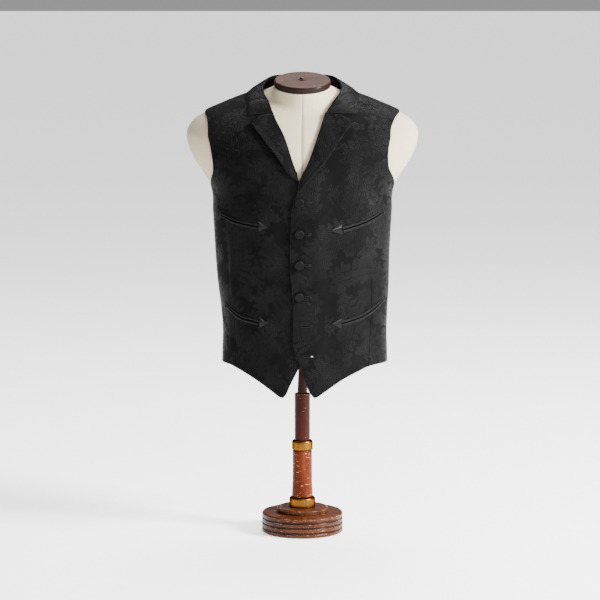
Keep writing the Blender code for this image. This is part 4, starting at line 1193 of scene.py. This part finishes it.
def lapel(name, side, edge, marks, node, drift, rows=110, columns=44):
    """A roll round the front's edge, then the turned cloth up to its notch."""
    share = np.linspace(BREAK_SHARE[side], GORGE_ROW_SHARE, rows)
    fold = torso(*front_border(edge, share), 1)[:, (0, 2)]
    outer = np.stack(read(marks, share, "out", "z"), axis=-1)
    t = np.linspace(0, 1, rows)
    across = outer - fold
    across[0] = across[1]
    across = unit(across)
    half = LAPEL_CLOTH / 2
    over = CLOTH + SEAM_GAP + half
    at_row = (share - share[0]) / ROW
    wrap, dip = step(0, ROLL_STARTS, at_row), step(ROLL_STARTS, ROLL_FULL, at_row)
    roll = (
        (-half - 0.2, CLOTH * 0.05), (-half - 0.6, CLOTH * 0.45), (-half - 0.7, over - 0.8),
        (-half - 0.5, over - 0.1), (-0.5, over + 0.35), (0.4, over + 0.5),
    )
    points = []
    for away, height in roll:
        flat = over + 0.2 * (away + 2)
        away = away * wrap + (away + 1.6) * (1 - wrap)
        place = fold + across * away[:, None]
        points.append(front_at(side, place[:, 0], place[:, 1], flat + half + (height - flat) * dip))
    gorge = np.array([fold[-1], LAPEL_GORGE[side], outer[-1]])
    fade = step(0.72, 1, t)[:, None]
    for s in np.append(np.linspace(0.06, 0.985, columns), 1):
        place = fold + (outer - fold) * s
        bent = np.array([np.interp(s, (0, GORGE_SHARE, 1), gorge[:, k]) for k in (0, 1)])
        place = place + fade * (bent - place[-1])
        stand = LAPEL_STAND[side] * s**1.5 * (0.35 + 0.65 * np.sin(math.pi * t * 0.8))
        swell = 0.5 + 1.2 * math.sin(math.pi * s) * (1 - 0.8 * step(0.7, 1, t))
        soft = BILLOW * np.exp(-(((t - 0.62) / 0.16) ** 2)) * math.exp(-(((s - 0.5) / 0.13) ** 2))
        lift = stand + swell + (soft if side < 0 else 0)
        points.append(front_at(side, place[:, 0], place[:, 1], over + half + wrap * lift))
    points = part_seam(np.stack(points, axis=1), ("top",))
    along, up = lengths(points)
    free = np.minimum(np.maximum(along[:, -1:] - along, 0), up[-1:] - up)
    points = lifted(points, free, side * LAPEL_OFF, LAPEL_OFF_REACH)
    points = pressed(points, free, side, *TURNED_PRESS)
    u, v = along + drift[0], up * 0.98 + drift[1]
    mesh = cloth_mesh(name, points, side < 0, damask_fields(u, v), (along, up))
    made = finished(name, mesh, (DAMASK, DAMASK), node, LAPEL_CLOTH)
    line = inset_line(points[8:-2, ::-1], (along[:, -1:] - along)[8:-2, ::-1], STITCH_INSET, side > 0)
    running_stitch(f"{name}_edge_stitching", (line,))
    return made


def collar_half(side, edge, fall):
    """Middle surface of one half of the collar, from the notch to the centre of the back."""
    front = np.linspace(GORGE_ROW_SHARE, 1, 34)
    back = np.linspace(0, 1, 61)[1:]
    neck = np.hstack([front_border(edge, front), back_neckline(back)])
    ridge = ridge_station(COLLAR_WIDTH)
    far = carried_on(COLLAR_EDGE[side], (SHOULDER_SEAM, ridge), front)
    far = np.hstack([far, round_back(ridge, BACK_COLLAR_EDGE, back)])
    rolls = read(COLLAR_ROLL, np.append(front, 1 + back), "rise", "lean")
    rise, lean = (values[:, None] for values in rolls)
    base, out = torso(*neck, 1), normal(*neck)
    upright = step(4, 16, rise)
    up = unit(out * (1 - upright) + np.array((0, 0, 1)) * upright)
    over = CLOTH + SEAM_GAP + COLLAR_CLOTH / 2
    rim = torso(*far, 1) + normal(*far) * (over + 0.4)
    away = rim - base
    away = unit(away - up * np.sum(away * up, axis=-1, keepdims=True))
    clear = COLLAR_CLOTH / 2 + SEAM_GAP + 0.3
    frame_rows = [
        base + up * (rise * row.share + row.more) - away * (clear + lean * row.lean - row.back)
        for row in COLLAR_STAND
    ]
    strip = []
    for at in np.append(np.linspace(0, 2, 9), np.linspace(2, 4, 9)[1:]):
        low = min(int(at), len(frame_rows) - 2)
        before, after = max(low - 1, 0), min(low + 2, len(frame_rows) - 1)
        u = at - low
        a, b, c, d = (frame_rows[k] for k in (before, low, low + 1, after))
        leave, arrive = (c - a) * u / 2 * (1 - u) ** 2, (d - b) * u**2 * (1 - u) / 2
        strip.append(b + leave + (c - b) * (3 * u**2 - 2 * u**3) - arrive)
    crest = strip[-1]
    reach = np.linalg.norm(rim - crest, axis=-1, keepdims=True)
    pull = crest + (rim - crest) * 0.45 + (away * 0.5 + up) * 0.07 * reach
    strip += [arc(crest, pull, rim, s) for s in fall]
    return np.stack(strip, axis=1) * (side, 1, 1)


def collar(name, node):
    """The collar as one cloth, from notch to notch round the neck."""
    fall = np.append(np.linspace(0.03, 0.98, 40), 1)
    left, right = collar_half(1, LEFT_EDGE, fall), collar_half(-1, RIGHT_EDGE, fall)
    points = np.concatenate([left, right[::-1][1:]], axis=0)
    part_seam(points, ("bottom", "top"), 0.9)
    along, up = lengths(points)
    free = np.minimum(along[:, -1:] - along, np.minimum(up, up[-1:] - up))
    middle_up = up - up[len(points) // 2]
    # The face lies half the cloth's thickness outside the middle surface
    points = points - facing(points) * COLLAR_CLOTH / 2
    points = lifted(points, free, -COLLAR_OFF, COLLAR_OFF_REACH)
    points = pressed(points, free, -1, *TURNED_PRESS)
    mesh = cloth_mesh(name, points, True, damask_fields(middle_up + 700, along + 60), (middle_up, along))
    made = finished(name, mesh, (DAMASK, DAMASK), node, COLLAR_CLOTH)
    line = inset_line(points[2:-2, ::-1], (along[:, -1:] - along)[2:-2, ::-1], STITCH_INSET, True)
    running_stitch(f"{name}_edge_stitching", (line,))
    return made


# ---- pockets


def square_to(places):
    """At each point of a line on a front, the (out, z) step of 1 mm square to it along the cloth."""
    along = np.gradient(places, axis=0)
    out, z = places.T
    span = np.linalg.norm(front_at(1, out + 0.5, z) - front_at(1, out - 0.5, z), axis=-1)
    across = unit(np.stack([-along[:, 1], along[:, 0] * span], axis=-1))
    across[:, 0] /= span
    return across


def laid_strip(name, side, centre, half, look, node, tall, columns=11, keen=0.5):
    """A rounded silk strip on a front: half is its half width at each point of its centre line."""
    centre, half = np.asarray(centre, float), np.asarray(half, float)
    share = np.sin(np.linspace(-0.5, 0.5, columns) * math.pi)[None, :, None]
    place = centre[:, None] + square_to(centre)[:, None] * half[:, None, None] * share
    out, z = place[..., 0], place[..., 1]
    arch = np.minimum(1, half / 2)[:, None] * (1 - share[..., 0] ** 2) ** keen
    points = front_at(side, out, z, CLOTH + LAID_GAP + folds(side, out, z, CREASES) + tall * arch)
    mesh = cloth_mesh(name, points, side > 0)
    return finished(name, mesh, (look,), node, sharp=80)


def bend(pocket, rows):
    """The curve of a pocket's mouth, from its front end to its side end, and the shares along it."""
    s = np.linspace(0, 1, rows)
    knots = (0, 0.45, 1)
    out = smooth(knots, (pocket.inner_out, pocket.middle_out, pocket.side_out), s)
    return np.stack([out, smooth(knots, (pocket.inner_z, pocket.middle_z, pocket.side_z), s)], axis=-1), s


def pocket_mouth(pocket, rows=60):
    """Two pipings, a near-black strip between them as painted shade of the mouth, the arrowhead and the end
    tack.
    """
    side = pocket.side
    mouth, s = bend(pocket, rows)
    across = square_to(mouth)
    half = WELT_TALL / 2 * (1 - WELT_NARROWING * step(0.55, 1, s))
    for name, sign in (("upper", 1), ("lower", -1)):
        middle = mouth + across * (sign * (half + WELT_SLIT / 2))[:, None]
        made = laid_strip(
            f"{pocket.name}_{name}_piping", side, middle, half, PIPING,
            f"pocket_{pocket.name}_welt_{name}", WELT_ROUND,
        )
    dark = np.full(rows, WELT_SLIT / 2 + MOUTH_UNDER)
    # painted shade: a near-black strip laid over the cloth where the mouth's opening lies in shade
    laid_strip(f"{pocket.name}_mouth", side, mouth, dark, SLIT_SHADE, None, MOUTH_TALL, 5)
    back = np.array((pocket.inner_out - ARROW_START, pocket.inner_z))
    tip = np.array((pocket.tip_out, pocket.tip_z))
    k = np.linspace(0, 1, 40)
    middle = back + (tip - back) * k[:, None]
    half = ARROW_BASE / 2 * (1 - ARROW_TAPER * k)
    laid_strip(
        f"{pocket.name}_arrowhead", side, middle, half, ARROW_SILK,
        f"pocket_{pocket.name}_arrowhead", ARROW_ROUND, 17, 0.8,
    )
    centre = mouth[-1] + unit(mouth[-1] - mouth[-2]) * (TACK_WIDE / 2 + TACK_AWAY)
    k = np.linspace(-1, 1, 26)
    middle = centre + across[-1] * (TACK_TALL / 2 * k)[:, None]
    half = TACK_WIDE / 2 * (1 - TACK_TAPER * k**4)
    laid_strip(
        f"{pocket.name}_tack", side, middle, half, ARROW_SILK, f"pocket_{pocket.name}_tack", TACK_ROUND,
    )


# ---- buttons


def rounded(profile, radius):
    """A profile whose corners are rounded off."""
    points = [Vector((*p, 0)) for p in profile]
    line = [points[0]]
    for before, corner, after in zip(points, points[1:], points[2:]):
        into, onward = before - corner, after - corner
        cut = min(radius, into.length * 0.45, onward.length * 0.45)
        start, end = corner + into.normalized() * cut, corner + onward.normalized() * cut
        line += [arc(start, corner, end, k / CORNER_STEPS) for k in range(CORNER_STEPS + 1)]
    line.append(points[-1])
    return line


def turned(
    name, profile, look, slot, node=None, steps=96, turn=None,
    radius=0.8, edge_radius=0.0, fine=3.0, shaded=None,
):
    """Spins a profile of (radius, height) points about its own axis; shaded gives the ring of it darkened
    as painted shade.
    """
    line = rounded(profile, radius)
    dense = [line[0]]
    for low, high in zip(line, line[1:]):
        count = max(1, int((high - low).length / fine))
        dense += [low.lerp(high, (k + 1) / count) for k in range(count)]
    shape = bmesh.new()
    ring = [shape.verts.new((p.x * MM, 0, p.y * MM)) for p in dense]
    for low, high in zip(ring, ring[1:]):
        shape.edges.new((low, high))
    bmesh.ops.spin(
        shape, geom=shape.verts[:] + shape.edges[:], axis=(0, 0, 1), cent=(0, 0, 0),
        steps=steps, angle=math.tau, use_merge=True,
    )
    bmesh.ops.remove_doubles(shape, verts=shape.verts, dist=1e-6)
    bmesh.ops.recalc_face_normals(shape, faces=shape.faces)
    mesh = mesh_from(shape, name)
    corners = [Vector((*p, 0)) for p in profile[1:-1] if p[0] > edge_radius]
    fields, flat = {"edge": [], "shaded": []}, []
    for vertex in mesh.vertices:
        spot = Vector((math.hypot(vertex.co.x, vertex.co.y) / MM, vertex.co.z / MM, 0))
        gap = min(((spot - corner).length for corner in corners), default=FAR)
        fields["edge"].append(max(0.0, 1 - gap / WEAR_WIDE))
        dark = shaded and shaded[0] < spot.x < shaded[1] and spot.y < shaded[2]
        fields["shaded"].append(1.0 if dark else 0.0)
        flat.append((vertex.co.x / MM, vertex.co.y / MM + vertex.co.z / MM))
    set_fields(mesh, fields, np.transpose(flat))
    if turn is not None:
        mesh.transform(turn)
    finished(name, mesh, (look,), node, sharp=40)


def buttons():
    """Six covered buttons, each with its buttonhole."""
    for number, row in enumerate(BUTTONS, 1):
        radius = BUTTON_RADIUS
        if row.fastened:
            depth = panel_rise(1, row.out, row.z) - panel_rise(-1, -row.out, row.z) - CLOTH
            above, tall, shank = CLOTH + SEAM_GAP, BUTTON_TALL, -(float(depth) + CLOTH)
            turn = front_frame(1, row.out, row.z, above)
            profile = ((0, shank), (SHANK_RADIUS, shank), (SHANK_RADIUS, 0.1), (radius - 1.2, 0.1))
        else:
            above, tall = CLOTH + SEAM_GAP, HIDDEN_BUTTON_TALL
            turn = front_frame(-1, row.out, row.z, above)
            profile = ((0, 0), (radius - 1.2, 0))
        profile += (
            (radius - 0.3, tall * 0.25), (radius, tall * 0.50), (radius - 0.5, tall * 0.86),
            (radius - 1.6, tall), (radius - 2.7, tall * 0.94), (radius * 0.5, tall * 0.93),
            (0, tall * 0.96),
        )
        turned(
            f"covered_button_{number}", profile, BUTTON_CLOTH, "damask", f"button_{number}", 48, turn,
            radius=0.5, edge_radius=9, fine=0.9,
        )
        buttonhole(number, row)


def buttonhole(number, row):
    """The worked bead of silk twist round a slit, and on the lowest a near-black strip as painted shade of
    its shut part.
    """
    middle, half = (row.hole_start + row.hole_end) / 2, (row.hole_end - row.hole_start) / 2
    lift = HOLE_HALF + TWIST_RADIUS * 0.75
    straight = half - TWIST_RADIUS - lift
    ring = []
    for sign in (1, -1):
        for share in np.linspace(-1, 1, 24):
            ring.append((middle + sign * share * straight, row.z - sign * lift))
        for turn in np.radians(np.linspace(-90, 90, 13)[1:-1]):
            around = lift * math.cos(turn), lift * math.sin(turn)
            ring.append((middle + sign * (straight + around[0]), row.z + sign * around[1]))
    path = front_at(1, *np.array(ring).T, CLOTH + TWIST_OFF)
    bead(f"buttonhole_{number}_twist", path)
    if row is BUTTONS[-1]:
        # painted shade: a near-black strip along the shut part of the lowest slit
        out = np.linspace(row.hole_start + HOLE_INSET, row.hole_start + (GAPE + 0.04) * 2 * half, 12)
        shut = np.stack([out, np.full(12, row.z)], axis=-1)
        dark = np.full(12, HOLE_HALF)
        laid_strip("lowest_buttonhole_slit_shade", 1, shut, dark, SLIT_SHADE, None, SLIT_TALL, 5)


def bead(name, path):
    """A round bead of twist along a closed path of points."""
    line = bpy.data.curves.new(name, "CURVE")
    line.dimensions = "3D"
    line.bevel_depth = TWIST_RADIUS * MM
    line.bevel_resolution = 2
    spline = line.splines.new("POLY")
    spline.points.add(len(path) - 1)
    places = np.hstack([path * MM, np.ones((len(path), 1))])
    spline.points.foreach_set("co", places.astype(np.float32).reshape(-1))
    spline.use_cyclic_u = True
    holder = in_scene(name + "_line", line)
    graph = bpy.context.evaluated_depsgraph_get()
    mesh = bpy.data.meshes.new_from_object(holder.evaluated_get(graph), depsgraph=graph)
    bpy.data.objects.remove(holder)
    bpy.data.curves.remove(line)
    mesh.materials.clear()
    finished(name, mesh, (TWIST,), sharp=80)


# ---- the form and its stand


def dress_form(columns=120, rows=220):
    """The padded torso under its linen cover, with its seams."""
    phi = np.linspace(-180, 180, columns + 1)
    rings = []
    for turn in np.radians(np.linspace(0, 75, 6)):
        ring = torso(phi, FORM_BOTTOM + FORM_ROUND, 0)
        ring[:, :2] *= 1 - (1 - math.sin(turn)) * FORM_ROUND / ring[:, :2].max()
        ring[:, 2] = FORM_BOTTOM + FORM_ROUND * (1 - math.cos(turn))
        rings.append(ring)
    stations = np.linspace(FORM_BOTTOM + FORM_ROUND, FORM_TOP, rows)
    rings += [torso(phi, station, 0) for station in stations]
    points = np.array(rings)
    centre = np.array((0, 0, FORM_BOTTOM))
    inner = [centre + (points[0] - centre) * share for share in (0.0, 0.35, 0.7)]
    top = points[-1].mean(axis=0)
    outer = [top + (points[-1] - top) * share for share in (0.7, 0.35, 0.0)]
    points = np.concatenate([inner, points, outer])
    level = np.concatenate([np.full(9, FORM_BOTTOM), stations, np.full(3, FORM_TOP)])
    seams = np.full(points.shape[:2], NO_SEAM)
    for at in (-90, 90, 0, 180, -180):
        gap = np.abs(phi - at)[None, :] * np.pi / 180 * np.hypot(points[..., 0], points[..., 1])
        seams = np.minimum(seams, gap)
    flat = np.meshgrid(np.arange(len(phi)) * FORM_COLUMN, np.interp(level, STATIONS, FRONT_RUN))
    mesh = cloth_mesh("form_cover", points, False, {"seam": seams}, flat, True)
    made = finished("form_cover", mesh, (LINEN,), "form_torso")


def stand():
    """The turned pieces, each as its profile of (radius, height) points, and the cap on the neck."""
    # The base's last group of numbers gives the ring of its grooves, darkened as painted shade.
    turned("base", (
        (0, 0), (84, 0), (86.5, 1.5), (86.5, 7.4), (84.0, 8.3), (84.0, 11.8), (86.5, 12.7), (86.5, 19.0),
        (84.0, 19.9), (84.0, 23.4), (86.3, 24.3), (86.3, 29.8), (84.0, 30.7), (84.0, 34.2), (86.2, 35.1),
        (86.2, 40.2), (84.0, 42.5), (0, 42.5),
    ), BASE_WOOD, "dark_wood", "stand_base", 160, None, 0.5, 85.5, 1.2, (83.0, 84.9, 35))
    turned("disc", (
        (0, 42.8), (53, 42.8), (54, 43.8), (54, 51.2), (52.4, 52.9), (0, 52.9),
    ), BASE_WOOD, "dark_wood", "stand_disc", 120, edge_radius=50)
    turned("foot_ferrule", (
        (0, 53.2), (27.8, 53.2), (27.8, 72.0), (25.6, 74.2), (0, 74.2),
    ), BRASS, "brass", "lower_ferrule", 96, radius=1.6, edge_radius=20)
    turned("lower_pole", (
        (0, 74.5), (22.9, 74.5), (22.4, 84), (21.1, 108), (20.8, 150), (20.8, 177.3), (0, 177.3),
    ), POLE_WOOD, "red_wood", "lower_post", 72, radius=4, edge_radius=99)
    turned("pole_ferrule", (
        (0, 177.6), (22.3, 177.6), (22.3, 195.0), (20.2, 197.6), (0, 197.6),
    ), BRASS, "brass", "upper_ferrule", 96, radius=1.6, edge_radius=18)
    turned("middle_pole", (
        (0, 197.9), (16.5, 197.9), (16.5, 297.0), (15.2, 298.8), (0, 298.8),
    ), MIDDLE_WOOD, "red_wood", "middle_post", 64, radius=0.6, edge_radius=14)
    turned("upper_pole", (
        (0, 299.1), (10.7, 299.1), (8.6, 346), (8.0, 399.7), (0, 399.7),
    ), UPPER_WOOD, "dark_wood", "upper_post", 48, radius=1, edge_radius=99)
    tilt = Matrix.Translation(Vector(NECK_TOP) * MM) @ Matrix.Rotation(NECK_TILT, 4, "X")
    turned("neck_block", (
        # The neck block's last group of numbers gives its side, darkened as painted shade.
        (0, 0.3), (57.6, 0.3), (60, 2.6), (60, 11.4), (57.2, 14.6), (0, 14.6),
    ), CAP_WOOD, "cap_wood", "neck_cap", 120, tilt, 1.4, 55, 1.5, (58.6, 61, 12.6))
    turned("neck_block_bolt", (
        (0, 14.9), (8.0, 14.9), (8.0, 16.2), (5.2, 16.6), (4.6, 19.8), (0, 20.6),
    ), UPPER_WOOD, "dark_wood", "neck_bolt", 32, tilt, 0.4, 4)


# ---- setting


def setting():
    """A pale floor, soft light from the front and the viewer's right, and the camera."""
    shape = bmesh.new()
    bmesh.ops.create_grid(shape, x_segments=2, y_segments=2, size=FLOOR_HALF)
    mesh = mesh_from(shape, "floor")
    look = Finish(
        "pale_floor", Roughness=0.7, Specular_IOR_Level=0.2,
        Emission_Color=(1, 1, 1, 1), Emission_Strength=FLOOR_GLOW,
    )
    soft = look.noise(look.place(), 1.5, 3)
    mesh.materials.append(look.wire(Base_Color=look.mix(soft, (0.90, 0.90, 0.90), (0.93, 0.93, 0.93))))
    in_scene("floor", mesh)

    world = bpy.data.worlds.new("studio")
    world.use_nodes = True
    sky = world.node_tree.nodes["Background"].inputs
    sky["Color"].default_value, sky["Strength"].default_value = (1, 1, 1, 1), SKY
    bpy.context.scene.world = world

    for lamp in LAMPS:
        data = bpy.data.lights.new(lamp.name, "AREA")
        data.energy, data.size = lamp.power, lamp.size
        light = in_scene(lamp.name, data)
        light.location = lamp.place
        aim = Vector(LAMP_AIM) - Vector(lamp.place)
        light.rotation_euler = aim.to_track_quat("-Z", "Y").to_euler()

    view = bpy.data.cameras.new("camera")
    view.lens, view.sensor_width = LENS, FILM
    camera = in_scene("camera", view)
    camera.location = CAMERA_PLACE
    camera.rotation_euler = (math.radians(90 - CAMERA_DOWN), 0, 0)
    bpy.context.scene.camera = camera


DAMASK = black_damask()
BACK_CLOTH = plain_cloth("back_cloth", (0.0026, 0.0026, 0.0028), (0.0075, 0.0072, 0.0077), 0.45, 700, 0.05)
BUTTON_CLOTH = plain_cloth(
    "button_cloth", (0.0010, 0.0009, 0.0011), (0.0033, 0.0031, 0.0034), 0.34, 620, 0.08,
)
PIPING = silk_satin("piping_satin", (0.0009, 0.0009, 0.0010), (0.0036, 0.0036, 0.0038), 0.28, 900)
ARROW_SILK = silk_satin("arrowhead_silk", (0.0008, 0.0008, 0.0009), (0.0056, 0.0056, 0.0058), 0.24, 800)
TWIST = silk_satin("buttonhole_twist", (0.0018, 0.0018, 0.0020), (0.0085, 0.0085, 0.0090), 0.34, 900)
STITCHING = silk_satin("stitching_silk", (0.0040, 0.0040, 0.0042), (0.013, 0.013, 0.0135), 0.38, 900)
# painted shade: near-black and without shine, for the shaded openings of the pocket mouths and of the
# lowest buttonhole's shut slit
SLIT_SHADE = plain_cloth("slit_shade_black", (0.0006, 0.0006, 0.0006), (0.001, 0.001, 0.001), 0.8, 700, 0.0)
LINEN = form_linen()
BASE_WOOD = varnished_wood(
    "dark_varnished_wood", (0.016, 0.0032, 0.0012), (0.060, 0.0150, 0.0052), (0.118, 0.036, 0.0130),
    (0.42, 0.22, 0.085), 0.030, 0.28, (1.1, 9, 9), 0.16,
)
POLE_WOOD = varnished_wood(
    "worn_mahogany", (0.034, 0.0042, 0.0008), (0.090, 0.0135, 0.0018), (0.160, 0.030, 0.0042),
    (0.52, 0.26, 0.10), 0.045, 0.30, coat=0.05,
)
MIDDLE_WOOD = varnished_wood(
    "mahogany", (0.0110, 0.0012, 0.0003), (0.027, 0.0032, 0.0006), (0.050, 0.0068, 0.0012),
    (0.42, 0.20, 0.08), -0.01, 0.24, coat=0.06,
)
UPPER_WOOD = varnished_wood(
    "dark_pole_wood", (0.008, 0.0024, 0.0010), (0.020, 0.0060, 0.0022), (0.036, 0.0120, 0.0045),
    (0.20, 0.10, 0.05), -0.01, 0.34, coat=0.05,
)
CAP_WOOD = varnished_wood(
    "faded_cap_wood", (0.024, 0.0095, 0.0058), (0.041, 0.0180, 0.0115), (0.058, 0.029, 0.0195),
    (0.24, 0.16, 0.13), -0.03, 0.45, (1.1, 9, 9), 0.08,
)
BRASS = old_brass()

dress_form()
stand()
for front in (
    ("left_front", 1, LEFT_EDGE, LEFT_ARMHOLE, LEFT_HEM, "front_left", (430, 40)),
    ("right_front", -1, RIGHT_EDGE, RIGHT_ARMHOLE, RIGHT_HEM, "front_right", (1130, 170)),
):
    piece = waistcoat_front(*front)
for back in (("left_back", 1, "back_left"), ("right_back", -1, "back_right")):
    piece = waistcoat_back(*back)
for side, edge, marks, drift, area in (
    (1, LEFT_EDGE, LEFT_LAPEL, (560, 30), 0.0076), (-1, RIGHT_EDGE, RIGHT_LAPEL, (900, 120), 0.0064),
):
    piece = lapel(f"{HAND[side]}_lapel", side, edge, marks, f"lapel_{HAND[side]}", drift)
piece = collar("notched_collar", "collar")
for pocket in POCKETS:
    pocket_mouth(pocket)
buttons()
setting()
